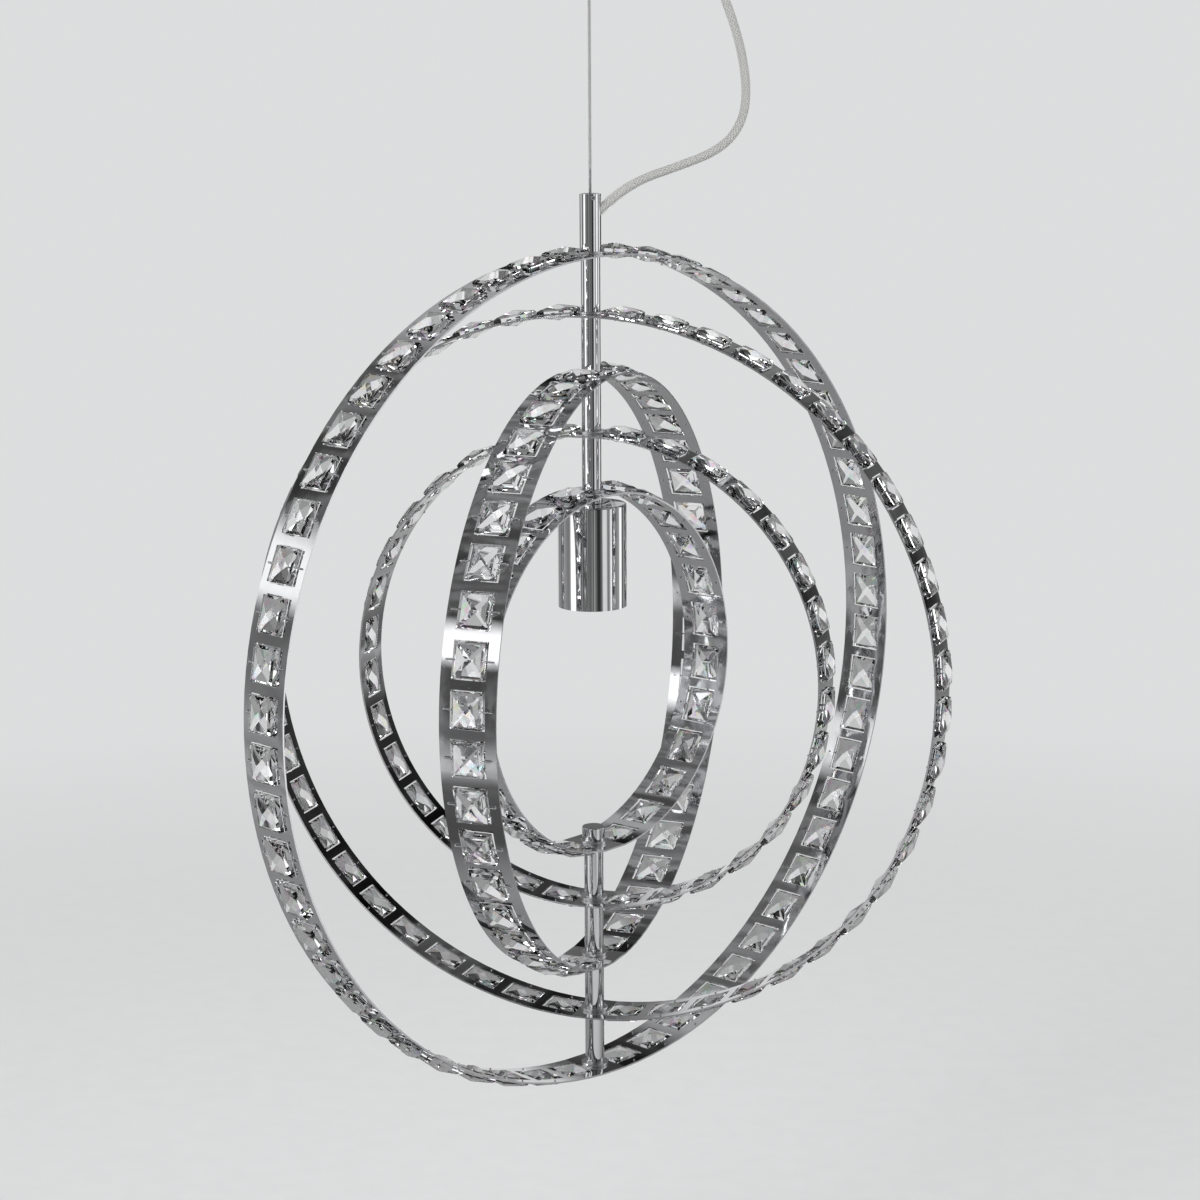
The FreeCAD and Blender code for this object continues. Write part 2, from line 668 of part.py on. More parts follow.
def make_lampholder():
    inside = "({holder_cap_height} - {holder_top})"
    neck_foot = "({holder_cap_height} - {holder_neck})"
    cap = turned("HolderCap", [(INSERT_SEAT, "0"), (HOLDER, "0"), (HOLDER, "{holder_cap_height}"),
                               (ROD_IN_THREAD, "{holder_cap_height}"), (ROD_IN_THREAD, neck_foot),
                               (NECK, neck_foot), (NECK, inside), (INSERT_SEAT, inside)],
                 at(CAP_FOOT), [(2, "{holder_round}")])
    keep(cap, "lampholder_cap")
    height = f"({CAP_FOOT} - {SKIRT_FOOT})"
    step = f"({height} - {{insert_in_skirt}})"
    skirt = turned("HolderSkirt", [(LEDGE, "0"), (HOLDER, "0"), (HOLDER, height), (INSERT_SEAT, height),
                                   (INSERT_SEAT, step), (LEDGE, step)], at(SKIRT_FOOT))
    keep(skirt, "lampholder_skirt")
    well = "({contact_diameter} / 2 + {contact_gap})"
    depth = "({contact_height} + {contact_sunk})"
    insert = turned("HolderInsert", [("0", depth), (well, depth), (well, "0"), (INSERT, "0"),
                                     (INSERT, "{insert_height}"), ("0", "{insert_height}")],
                    at(INSERT_FOOT))
    keep(insert, "lampholder_insert")
    shell = turned("LampShell", tube_outline(SHELL_OUTER, "{lamp_thread} / 2", "{lamp_shell_length}"),
                   at(f"{INSERT_FOOT} - {{lamp_shell_length}}"))
    keep(shell, "lamp_screw_shell")
    contact = turned("Contact", [("0", "0"), ("{contact_diameter} / 2", "0"),
                                 ("{contact_diameter} / 2", "{contact_height}"),
                                 ("0", "{contact_height}")],
                     at(f"{INSERT_FOOT} + {{contact_sunk}}"), [(1, "{contact_round}")])
    keep(contact, "centre_contact")
    terminals = []
    for turn in LEAD_TURNS:
        terminal = doc.addObject("Part::Box", "Terminal")
        terminal.Placement.Rotation = Rotation(Vector(0, 0, 1), turn)
        bind(terminal, Length="{terminal_side}", Width="{terminal_side}", Height="{terminal_height}")
        away = f"cos({turn}) * {TERMINAL_RADIUS} + sin({turn}) * {{terminal_side}} / 2"
        aside = f"sin({turn}) * {TERMINAL_RADIUS} - cos({turn}) * {{terminal_side}} / 2"
        terminals.append(stand(terminal, away, aside, at(INSERT_TOP)))
    keep(group(terminals), "lampholder_terminals")


# Wiring: the cord climbs out of the top tube to the gland, and three leads run down the hollow rod

# The cord's route beside the stem, measured from the point where it leaves the top tube
CORD_ROUTE = (
    (27.4, -1, 19.8),
    (52.5, -2, 28.2),
    (78.7, -3.5, 38.4),
    (93.1, -4.5, 52.7),
    (98.9, -5, 73.7),
    (94.7, -4, 107.9),
    (79.5, -3, 150.8),
    (60, -2, 192.3),
    (44, -0.6, 224.3),
)
EXIT_RUN = 12
GLAND_RUN = 26
LEAD_CIRCLE = "(({lead_diameter} + {lead_gap_in_rod}) / sqrt(3))"

# The three leads over the gland stand in a row across their way to the block, the middle one higher
LEAD_ROW = Vector(1, 1, 0).normalize()
LEAD_RISES = ((-1, 3.4), (0, 6.2), (1, 3.4))


def cord_frame():
    """The point where the cord's axis leaves the top tube, and its direction there."""
    tilt = math.radians(size("cord_tilt"))
    leave = Vector(solve(TOP_TUBE), 0, solve(at(CORD_HOLE)))
    return leave, Vector(math.cos(tilt), 0, math.sin(tilt))


def cord_end():
    """Where the cord's jacket ends, on top of the gland."""
    return Vector(solve(GLAND_X), 0, size("gland_above") - size("canopy_height"))


def make_cord():
    leave, direction = cord_frame()
    inner_end = leave - direction * size("cord_inside")
    bend = leave + direction * EXIT_RUN
    route = [leave + Vector(*step) for step in CORD_ROUTE]
    below_gland = cord_end() - Vector(0, 0, GLAND_RUN)
    points = [inner_end, bend, *route, below_gland, cord_end()]
    keep(set_shape("Cord", run_along(points, size("cord_diameter"))), "supply_cord")
    sleeve = along_cord(GROMMET, "{cord_inside} / 2", "{cord_inside} / 2 + {grommet_out}")
    bore = along_cord(CORD_IN_GLAND, "{cord_inside}",
                      "{cord_inside} + 2 * {grommet_out}")
    keep(cut(sleeve, bore), "cord_grommet")


def make_stem_leads():
    """Each lead leaves the cord's end, turns down the rod's bore and out to its terminal."""
    leave, direction = cord_frame()
    inner_end = leave - direction * size("cord_inside")
    across = Vector(direction.z, 0, -direction.x)
    low = solve(at(f"{INSERT_TOP} + {{lead_above_insert}}"))
    circle = solve(LEAD_CIRCLE)
    leads = []
    for turn in LEAD_TURNS:
        away = math.cos(math.radians(turn)) * circle
        aside = math.sin(math.radians(turn)) * circle
        start = inner_end + across * away + Vector(0, aside, 0)
        fall = (start.x - away) * direction.z / direction.x
        top = Vector(away, aside, start.z - fall)
        corner = Vector(away, aside, low)
        reach = solve(TERMINAL_RADIUS) / circle
        end = Vector(away * reach, aside * reach, low)
        leads.append(run_along([start, top, corner, end], size("lead_diameter")))
    keep(set_shape("StemLeads", Part.makeCompound(leads)), "stem_leads")


def make_canopy_leads():
    """Each lead rises from the cord's end over the gland and runs level into the terminal block."""
    pole_height = solve(POLE_HEIGHT)
    face = size("block_width") / 2
    spacing = size("lead_diameter") + size("lead_gap_in_cord")
    leads = []
    for number, rise in LEAD_RISES:
        start = cord_end() + LEAD_ROW * (number * spacing)
        top = start + Vector(0, 0, rise)
        pole = size("block_offset") + number * size("pole_spacing")
        bend = Vector(face + EXIT_RUN, pole, pole_height)
        end = Vector(face, pole, pole_height)
        leads.append(run_along([start, top, bend, end], size("lead_diameter")))
    keep(set_shape("CanopyLeads", Part.makeCompound(leads)), "canopy_leads")


# Bands, crystals and ties: one window cut, one crystal and one pair of pins, each repeated along the band

def window_sketch(body, ring, side):
    """One window and its two pin holes, on a plane that touches the band at the first window's middle."""
    sketch = new_sketch(body, "XY_Plane")
    angle = f"(({STEM_LAND} + {WINDOW_LENGTH}) / 2 / {radius_of(ring)} * 180 / pi)"
    sketch.AttachmentOffset.Rotation = Rotation(Vector(0, 1, 0), 1)
    bind(sketch, AttachmentOffset__Rotation__Angle=angle,
         AttachmentOffset__Base__x=f"{side} * {radius_of(ring)} * sin({angle})",
         AttachmentOffset__Base__z=f"{side} * {radius_of(ring)} * cos({angle})")
    length = f"{WINDOW_LENGTH} / 2"
    width = f"{WINDOW_WIDTH} / 2"
    polygon(sketch, [(f"-({length})", f"-({width})"), (length, f"-({width})"),
                     (length, width), (f"-({length})", width)])
    for way in (-1, 1):
        hole = sketch.addGeometry(Part.Circle(Vector(0, way * solve(PIN_REACH), 0),
                                              Vector(0, 0, 1), size("pin_diameter") / 2))
        sketch.addConstraint(Sketcher.Constraint("PointOnObject", hole, 3, -2))
        ends = (-1, 1, hole, 3) if way > 0 else (hole, 3, -1, 1)
        tie(sketch, Sketcher.Constraint("DistanceY", *ends, 1), PIN_REACH)
        tie(sketch, Sketcher.Constraint("Radius", hole, 1), "{pin_diameter} / 2 + {thread_fit}")
    return sketch


def ring_outline(sketch, radius, flat):
    """A circle with a short flat at its top and bottom."""
    reach = solve(radius)
    height = solve(flat)
    lift = math.asin(height / reach)
    axis = Vector(0, 0, 1)
    circle = Part.Circle(Vector(0, 0, 0), axis, reach)
    right = sketch.addGeometry(Part.ArcOfCircle(circle, -lift, lift))
    left = sketch.addGeometry(Part.ArcOfCircle(circle, math.pi - lift, math.pi + lift))
    half = math.sqrt(reach ** 2 - height ** 2)
    top = sketch.addGeometry(Part.LineSegment(Vector(half, height, 0), Vector(-half, height, 0)))
    bottom = sketch.addGeometry(Part.LineSegment(Vector(-half, -height, 0), Vector(half, -height, 0)))
    for arc in (right, left):
        sketch.addConstraint(Sketcher.Constraint("Coincident", arc, 3, -1, 1))
        tie(sketch, Sketcher.Constraint("Radius", arc, reach), radius)
    for first, first_end, second, second_end in ((right, 2, top, 1), (top, 2, left, 1),
                                                 (left, 2, bottom, 1), (bottom, 2, right, 1)):
        sketch.addConstraint(Sketcher.Constraint("Coincident", first, first_end, second, second_end))
    for line in (top, bottom):
        sketch.addConstraint(Sketcher.Constraint("Horizontal", line))
    tie(sketch, Sketcher.Constraint("DistanceY", -1, 1, top, 1, height), flat)
    tie(sketch, Sketcher.Constraint("DistanceY", bottom, 1, -1, 1, height), flat)


def turn_ring(obj, ring):
    """Stand a ring's piece at the common centre, turned about the stem."""
    obj.Placement = FreeCAD.Placement(Vector(0, 0, 0), Rotation(Vector(0, 0, 1), 1))
    bind(obj, Placement__Base__z=at("0"), Placement__Rotation__Angle=f"{{yaw_{ring}}}")


def make_band(ring):
    """Flat strip bent to a circle, with its windows, pin holes and the two stem holes."""
    body = doc.addObject("PartDesign::Body", f"Band{ring}")
    outline = new_sketch(body, "XZ_Plane")
    ring_outline(outline, f"{radius_of(ring)} + {HALF_BAND}", f"{crossing(ring)} + {HALF_BAND}")
    ring_outline(outline, f"{radius_of(ring)} - {HALF_BAND}", f"{crossing(ring)} - {HALF_BAND}")
    strip = body.newObject("PartDesign::Pad", "Strip")
    strip.Profile = outline
    strip.Midplane = True
    bind(strip, Length="{band_width}")
    doc.recompute()
    circle = new_sketch(body, "XY_Plane")
    hole = circle.addGeometry(Part.Circle(Vector(0, 0, 0), Vector(0, 0, 1), size("rod_diameter") / 2))
    circle.addConstraint(Sketcher.Constraint("Coincident", hole, 3, -1, 1))
    tie(circle, Sketcher.Constraint("Radius", hole, 1), "{rod_diameter} / 2 + {turn_fit}")
    stem_holes = body.newObject("PartDesign::Pocket", "StemHoles")
    stem_holes.Profile = circle
    stem_holes.Midplane = True
    bind(stem_holes, Length="2 * {ring_diameter}")
    doc.recompute()
    windows = []
    for side in (1, -1):
        window = body.newObject("PartDesign::Pocket", "Window")
        window.Profile = window_sketch(body, ring, side)
        window.Midplane = True
        bind(window, Length=WINDOW_LENGTH)
        doc.recompute()
        windows.append(window)
    pattern = body.newObject("PartDesign::PolarPattern", "Windows")
    pattern.Originals = windows
    pattern.Axis = (origin_part(body, "Y_Axis"), [""])
    run = f"(pi * {radius_of(ring)} - {STEM_LAND} - {WINDOW_LENGTH})"
    bind(pattern, Angle=f"{run} / {radius_of(ring)} * 180 / pi",
         Occurrences=f"floor({run} / ({WINDOW_LENGTH} + {{bridge_least}})) + 1")
    body.Tip = pattern
    turn_ring(body, ring)
    doc.recompute()
    keep(body, f"ring_{ring}_band")
    return pattern


def places_on(ring, pattern):
    """Placements on a band's windows: x along the band, y across it, z outwards."""
    count = pattern.Occurrences
    step = pattern.Angle.Value / (count - 1)
    radius = solve(radius_of(ring))
    first = math.degrees(solve(f"({STEM_LAND} + {WINDOW_LENGTH}) / 2") / radius)
    for half in (0, 180):
        for number in range(count):
            turn = Rotation(Vector(0, 1, 0), first + number * step + half)
            yield FreeCAD.Placement(turn.multVec(Vector(0, 0, radius)), turn)


def repeat_on(ring, pattern, shape, name, label):
    """Copies of a shape on every window of a band, as one group of separate solids."""
    copies = []
    for place in places_on(ring, pattern):
        copies += [solid.transformed(place.toMatrix(), True) for solid in shape.Solids]
    feature = doc.addObject("Part::Feature", name)
    feature.Shape = Part.makeCompound(copies)
    turn_ring(feature, ring)
    keep(feature, label)


PIN_AXIS = "({band_thickness} / 2 + {pin_lift} + {pin_diameter} / 2)"
PIN_BEND = "({pin_lift} + {pin_diameter} / 2)"


def frustum(way, low, high, foot, top):
    """One tier of facets, from a rectangle given by its half sides to a smaller one."""
    tier = doc.addObject("Part::Wedge", "Tier")
    tier.Placement.Rotation = Rotation(Vector(1, 0, 0), 90 * way)
    bind(tier, Xmin=f"-{foot[0]}", Xmax=foot[0], Zmin=f"-{foot[1]}", Zmax=foot[1],
         X2min=f"-{top[0]}", X2max=top[0], Z2min=f"-{top[1]}", Z2max=top[1], Ymin=low, Ymax=high,
         Placement__Base__z=PIN_AXIS)
    return tier


def make_crystal():
    """Double-sided cut crystal: girdle, a narrow bevel and a low pyramid on each side, two pin bores."""
    foot = ("({crystal_length} / 2)", "({crystal_width} / 2)")
    bevel = ("({crystal_length} / 2 - {crystal_bevel_in})", "({crystal_width} / 2 - {crystal_bevel_in})")
    table = ("({crystal_table} / 2)", "({crystal_table} / 2)")
    low = "{crystal_girdle} / 2"
    middle = "({crystal_girdle} / 2 + {crystal_bevel})"
    high = "{crystal_depth} / 2"
    tiers = [block("{crystal_length}", "{crystal_width}", "{crystal_girdle}", z=f"{PIN_AXIS} - {low}")]
    for way in (1, -1):
        tiers.append(frustum(way, low, middle, foot, bevel))
        tiers.append(frustum(way, middle, high, bevel, table))
    bores = []
    for way in (1, -1):
        mouth = f"{-way} * ({{crystal_width}} / 2 - {{pin_depth}})"
        bores.append(cylinder("{pin_diameter} / 2 + {thread_fit}", "2 * {pin_depth}", y=mouth,
                              z=PIN_AXIS, turn=(Vector(1, 0, 0), f"{90 * way}")))
    crystal = cut(fuse(*tiers), *bores)
    crystal.Refine = True
    return crystal


def make_tie():
    """Two wire pins: each runs from the crystal's side over the band and bends down through its hole."""
    radius = "{pin_diameter} / 2"
    pins = []
    for way in (1, -1):
        inner = f"({{crystal_width}} / 2 - {{pin_depth}})"
        level = cylinder(radius, f"({PIN_REACH} - {PIN_BEND} - {inner})", y=f"{-way} * {inner}",
                         z=PIN_AXIS, turn=(Vector(1, 0, 0), f"{90 * way}"))
        drop = cylinder(radius, f"({PIN_AXIS} - {PIN_BEND} + {HALF_BAND} + {{pin_tail}})",
                        y=f"{-way} * {PIN_REACH}", z=f"-{HALF_BAND} - {{pin_tail}}")
        elbow = doc.addObject("Part::Torus", "Elbow")
        turned_up = Rotation(Vector(0, 1, 0), -90)
        if way > 0:
            turned_up = Rotation(Vector(0, 0, 1), 180) * turned_up
        elbow.Placement.Rotation = turned_up
        bind(elbow, Radius1=PIN_BEND, Radius2=radius)
        elbow.Angle3 = 90
        stand(elbow, y=f"{-way} * ({PIN_REACH} - {PIN_BEND})", z=f"{PIN_AXIS} - {PIN_BEND}")
        pins.append(fuse(level, drop, elbow))
    return group(pins)


# Lower stem: a solid rod from the innermost band's lowest point to a nut under the outermost band

LOWER_WASHER = "{lower_washer_thickness}"


def make_lower_stem():
    nut_top = f"(-{crossing(1)} - {HALF_BAND} - {{turn_gap}})"
    cap_foot = f"(-{crossing(5)} + {HALF_BAND} + {{turn_gap}} + {LOWER_WASHER})"
    rod_foot = f"({nut_top} - {{bottom_nut_thread}})"
    rod = cylinder(ROD, f"({cap_foot} + {{end_cap_thread}} - {rod_foot})", z=at(rod_foot))
    keep(rod, "lower_stem_rod")
    washers = []
    for ring in RINGS:
        over = f"-{crossing(ring)} + {HALF_BAND} + {{turn_gap}}"
        washers.append(washer_at("{lower_washer_rim}", LOWER_WASHER, at(over)))
        if ring == RINGS[-1]:
            continue
        under = f"-{crossing(ring + 1)} - {HALF_BAND} - {{turn_gap}} - {LOWER_WASHER}"
        washers.append(washer_at("{lower_washer_rim}", LOWER_WASHER, at(under)))
        foot = at(f"{over} + {LOWER_WASHER}")
        keep(stem_tube(ring, LOWER_WASHER, foot), f"lower_stem_tube_{ring}")
    keep(group(washers), "lower_stem_washers")
    outer = f"({ROD_IN_THREAD} + {{end_cap_wall}})"
    cap = turned("EndCap", [(ROD_IN_THREAD, "0"), (outer, "0"), (outer, "{end_cap_height}"),
                            ("0", "{end_cap_height}"), ("0", "{end_cap_thread}"),
                            (ROD_IN_THREAD, "{end_cap_thread}")], at(cap_foot), [(2, "{end_cap_round}")])
    keep(cap, "lower_stem_end_cap")
    outer = f"({ROD_IN_THREAD} + {{bottom_nut_wall}})"
    well = "({bottom_nut_height} - {bottom_nut_thread})"
    nut = turned("BottomNut", [("0", "0"), (outer, "0"), (outer, "{bottom_nut_height}"),
                               (ROD_IN_THREAD, "{bottom_nut_height}"), (ROD_IN_THREAD, well), ("0", well)],
                 at(f"{nut_top} - {{bottom_nut_height}}"), [(1, "{bottom_nut_round}")])
    keep(nut, "bottom_nut")


make_bracket()
make_canopy()
make_gripper()
make_gland()
make_rod_nuts()
make_terminal_block()
make_suspension()
make_top_tube()
make_upper_stem()
make_lamp_cup()
make_lampholder()
make_cord()
make_stem_leads()
make_canopy_leads()
make_lower_stem()
crystal_piece = make_crystal()
tie_piece = make_tie()
doc.recompute()
for ring_number in RINGS:
    windows_of_ring = make_band(ring_number)
    repeat_on(ring_number, windows_of_ring, crystal_piece.Shape, f"Crystals{ring_number}",
              f"ring_{ring_number}_crystals")
    repeat_on(ring_number, windows_of_ring, tie_piece.Shape, f"Ties{ring_number}",
              f"ring_{ring_number}_crystal_pins")
    print(f"ring {ring_number}: {2 * windows_of_ring.Occurrences} windows")
doc.recompute()

for obj in doc.Objects:
    if "Invalid" in obj.State or "Error" in obj.State:
        raise RuntimeError(f"{obj.Name} ({obj.Label}) failed: {obj.State}")
for node in nodes:
    if node.Shape.isNull() or not node.Shape.isValid():
        raise RuntimeError(f"{node.Label} has no valid shape")

os.makedirs("parts", exist_ok=True)
for node in nodes:
    node.Shape.exportStep(f"parts/{node.Label}.step")
print(f"{len(nodes)} pieces written")
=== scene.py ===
import math

import bpy
from mathutils import Matrix, Vector
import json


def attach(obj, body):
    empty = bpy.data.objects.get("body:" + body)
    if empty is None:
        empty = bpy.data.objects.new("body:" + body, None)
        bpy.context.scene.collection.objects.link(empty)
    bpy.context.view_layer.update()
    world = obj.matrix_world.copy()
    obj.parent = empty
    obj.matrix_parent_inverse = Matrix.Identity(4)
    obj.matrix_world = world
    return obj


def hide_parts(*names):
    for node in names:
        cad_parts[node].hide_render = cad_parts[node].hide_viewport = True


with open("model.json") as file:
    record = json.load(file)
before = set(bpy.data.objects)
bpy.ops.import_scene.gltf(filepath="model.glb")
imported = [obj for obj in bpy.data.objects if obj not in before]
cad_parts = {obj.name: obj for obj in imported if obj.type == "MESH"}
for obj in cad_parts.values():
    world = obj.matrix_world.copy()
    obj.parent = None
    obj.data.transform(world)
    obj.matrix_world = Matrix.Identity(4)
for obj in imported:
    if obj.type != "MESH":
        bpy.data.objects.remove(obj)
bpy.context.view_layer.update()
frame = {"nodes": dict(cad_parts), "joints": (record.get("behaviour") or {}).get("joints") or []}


# The photographer's side: a camera a little above the middle of the orb, about two
# metres in front of it, looking slightly down.
look_down = math.radians(11.1926)
lean = math.radians(-0.288)
camera_place = (0.0053, -2.1, -0.155)
ahead = Vector((0.0, math.cos(look_down), -math.sin(look_down)))
above = Vector((0.0, math.sin(look_down), math.cos(look_down)))
right = Vector((math.cos(lean), 0.0, 0.0)) + math.sin(lean) * above
top = math.cos(lean) * above - Vector((math.sin(lean), 0.0, 0.0))
aimed = Matrix((right, top, -ahead)).transposed().to_4x4()
bpy.ops.object.select_all(action="DESELECT")
bpy.ops.object.camera_add()
camera = bpy.context.object
camera.matrix_world = Matrix.Translation(camera_place) @ aimed
camera.data.lens = 92.23
camera.data.sensor_width = 36.0
camera.data.clip_end = 400.0
bpy.context.scene.camera = camera
bpy.context.scene.view_settings.view_transform = "Standard"


# The studio's room: grey walls with soft folds and lamps in them, dark in places and pale
# where the camera looks. Polished metal takes its streaks from this room.
def node(tree, kind, sockets=None, **settings):
    made = tree.nodes.new("ShaderNode" + kind)
    for name, value in settings.items():
        setattr(made, name, value)
    for name, value in (sockets or {}).items():
        if isinstance(value, bpy.types.NodeSocket):
            tree.links.new(value, made.inputs[name])
        else:
            made.inputs[name].default_value = value
    return made


def ramp(tree, factor, stops):
    made = node(tree, "ValToRGB", {"Fac": factor})
    elements = made.color_ramp.elements
    elements[0].position = stops[0][0]
    elements[1].position = stops[-1][0]
    for place, shade in stops[1:-1]:
        elements.new(place)
    for element, (place, shade) in zip(elements, stops):
        element.color = shade if isinstance(shade, tuple) else (shade, shade, shade, 1.0)
    return made.outputs["Color"]


def mix(tree, factor, first, second, blend="MIX"):
    made = node(tree, "Mix", {0: factor, 6: first, 7: second}, data_type="RGBA", blend_type=blend)
    return made.outputs[2]


def times(first, second):
    return mix(room, 1.0, first, second, "MULTIPLY")


def lighter(first, second):
    return mix(room, 1.0, first, second, "LIGHTEN")


pale = (0.72, 0.725, 0.73, 1.0)
white = (1.0, 1.0, 1.0, 1.0)
grey = (0.5, 0.5, 0.5, 1.0)
glass_glow = (0.85, 0.86, 0.88, 1.0)
world = bpy.data.worlds.new("studio")
bpy.context.scene.world = world
world.use_nodes = True
room = world.node_tree
room.nodes.clear()
way = node(room, "TexCoord").outputs["Generated"]
part = node(room, "SeparateXYZ", {0: way}).outputs
towards = node(room, "Math", {0: part["Y"], 1: -1.0}, operation="MULTIPLY").outputs[0]
about = node(room, "Math", {0: part["X"], 1: towards}, operation="ARCTAN2").outputs[0]
# turn is 0 behind the light, 0.25 on the picture's left, 0.5 at the camera, 0.75 on the
# picture's right and 1 behind again; height is 0 straight below and 1 straight above
turn = node(room, "MapRange", {"Value": about, "From Min": -math.pi, "From Max": math.pi}).outputs[0]
height = node(room, "MapRange", {"Value": part["Z"], "From Min": -1.0}).outputs[0]
level = node(room, "VectorMath", {0: way, 1: (3.0, 3.0, 0.0)}, operation="MULTIPLY").outputs[0]
drapes = node(room, "TexNoise", {"Vector": level, "Scale": 1.6, "Detail": 3.0, "Roughness": 0.65})
folds = ramp(room, drapes.outputs["Fac"], [(0.30, 0.12), (0.44, 0.35), (0.50, 1.2), (0.56, 0.5), (0.70, 1.7)])
shade = ramp(room, height, [
    (0.0, 0.70), (0.30, 0.55), (0.42, 0.34), (0.52, 0.26), (0.72, 0.18), (0.82, 0.21), (0.90, 0.26),
    (1.0, 0.32)])
front = ramp(room, turn, [
    (0.40, 1.0), (0.425, 0.35), (0.455, 1.2), (0.480, 0.35), (0.525, 1.1), (0.550, 0.12), (0.575, 0.12),
    (0.595, 1.0)])
rear = ramp(room, turn, [(0.0, 0.22), (0.02, 0.22), (0.05, 1.0), (0.935, 1.0), (0.96, 0.22), (1.0, 0.22)])
rear_reach = ramp(room, height, [(0.64, 0.0), (0.68, 1.0), (0.80, 1.0), (0.86, 0.0)])
corner = ramp(room, turn, [(0.840, 1.0), (0.865, 0.12), (0.915, 0.12), (0.945, 1.0)])
corner_reach = ramp(room, height, [(0.42, 0.0), (0.47, 1.0), (0.70, 1.0), (0.77, 0.0)])
corners_dark = times(mix(room, corner_reach, white, corner), mix(room, rear_reach, white, rear))
wall = times(times(shade, folds), times(front, corners_dark))
lamps = ramp(room, turn, [
    (0.0, 0.75), (0.07, 0.70), (0.12, 0.0), (0.165, 0.0), (0.180, 1.3), (0.198, 1.3), (0.213, 0.0),
    (0.280, 0.0), (0.293, 1.5), (0.340, 1.5), (0.356, 0.0), (0.590, 0.0), (0.603, 0.9), (0.635, 0.9),
    (0.650, 0.2), (0.668, 0.4), (0.685, 1.3), (0.725, 1.3), (0.745, 0.15), (0.775, 0.3), (0.795, 1.4),
    (0.815, 1.4), (0.832, 0.0), (0.90, 0.0), (0.94, 0.70), (1.0, 0.75)])
lamp_reach = ramp(room, height, [(0.22, 0.0), (0.33, 1.0), (0.55, 1.0), (0.63, 0.0)])
high = ramp(room, turn, [
    (0.155, 0.0), (0.19, 1.3), (0.25, 1.3), (0.29, 0.0), (0.315, 0.0), (0.34, 1.6), (0.40, 1.6),
    (0.43, 0.0), (0.72, 0.0), (0.75, 1.2), (0.79, 1.2), (0.82, 0.0)])
high_reach = ramp(room, height, [(0.575, 0.0), (0.615, 1.0), (0.675, 1.0), (0.72, 0.0)])
screen = ramp(room, turn, [(0.018, 0.0), (0.034, 0.46), (0.082, 0.42), (0.115, 0.0)])
screen_reach = ramp(room, height, [(0.69, 0.0), (0.73, 1.0), (0.84, 1.0), (0.87, 0.0)])
mirrored = lighter(wall, times(lamps, lamp_reach))
mirrored = lighter(mirrored, times(high, high_reach))
mirrored = lighter(mirrored, times(screen, screen_reach))
through_glass = mix(room, 0.5, mirrored, glass_glow)
ray = node(room, "LightPath").outputs
lit = mix(room, ray["Is Transmission Ray"], grey, through_glass)
lit = mix(room, ray["Is Glossy Ray"], lit, mirrored)
shown = mix(room, ray["Is Camera Ray"], lit, pale)
air = node(room, "Background", {"Color": shown, "Strength": 1.0})
node(room, "OutputWorld", {"Surface": air.outputs[0]})


# The studio's floor: a pale painted round below the hanging light that keeps its shadow,
# darker in mirrors towards the back, fading into the room and open from beneath.
floor_height, floor_radius, painted_radius = -1.15, 2.5, 1.25
bpy.ops.mesh.primitive_circle_add(vertices=96, radius=floor_radius, fill_type="NGON",
                                  location=(0, 0, floor_height))
floor = bpy.context.object
floor.name = "studio_floor"
bpy.ops.object.transform_apply(location=True)
paint = bpy.data.materials.new("floor_paint")
paint.use_nodes = True
tree = paint.node_tree
tree.nodes.clear()
spot = node(tree, "TexCoord").outputs["Object"]
grain = node(tree, "TexNoise", {"Vector": spot, "Scale": 40.0, "Detail": 4.0}).outputs["Fac"]
speck = ramp(tree, grain, [(0.3, (0.79, 0.795, 0.80, 1.0)), (0.7, (0.81, 0.815, 0.82, 1.0))])
depth = node(tree, "SeparateXYZ", {0: spot}).outputs["Y"]
inwards = node(tree, "MapRange", {"Value": depth, "From Min": -0.9, "From Max": 0.3}).outputs[0]
dim = ramp(tree, inwards, [(0.0, 0.75), (0.35, 0.62), (0.7, 0.34), (1.0, 0.34)])
dark_patch, patch_middle = (0.09, 0.09, 0.09, 1.0), (-0.55, -0.52, floor_height)
patch_edge, patch_heart = 0.5, 0.22
from_patch = node(tree, "VectorMath", {0: spot, 1: patch_middle}, operation="DISTANCE").outputs["Value"]
in_patch = node(tree, "MapRange", {"Value": from_patch, "From Min": patch_edge,
                                   "From Max": patch_heart}).outputs[0]
dim = mix(tree, in_patch, dim, dark_patch)
in_mirrors = node(tree, "LightPath").outputs["Is Glossy Ray"]
near = node(tree, "BsdfPrincipled", {"Base Color": mix(tree, in_mirrors, speck, dim), "Roughness": 0.9,
                                     "Specular IOR Level": 0.1})
beyond = node(tree, "BsdfTransparent")
glow = node(tree, "Emission", {"Color": pale})
far = node(tree, "MixShader", {0: in_mirrors, 1: glow.outputs[0], 2: beyond.outputs[0]})
away = node(tree, "VectorMath", {0: spot}, operation="LENGTH").outputs["Value"]
fade = node(tree, "MapRange", {"Value": away, "From Min": painted_radius, "From Max": floor_radius},
            interpolation_type="SMOOTHSTEP")
both = node(tree, "MixShader", {0: fade.outputs[0], 1: near.outputs[0], 2: far.outputs[0]})
from_below = node(tree, "NewGeometry").outputs["Backfacing"]
open_below = node(tree, "MixShader", {0: from_below, 1: both.outputs[0], 2: beyond.outputs[0]})
node(tree, "OutputMaterial", {"Surface": open_below.outputs[0]})
floor.data.materials.append(paint)


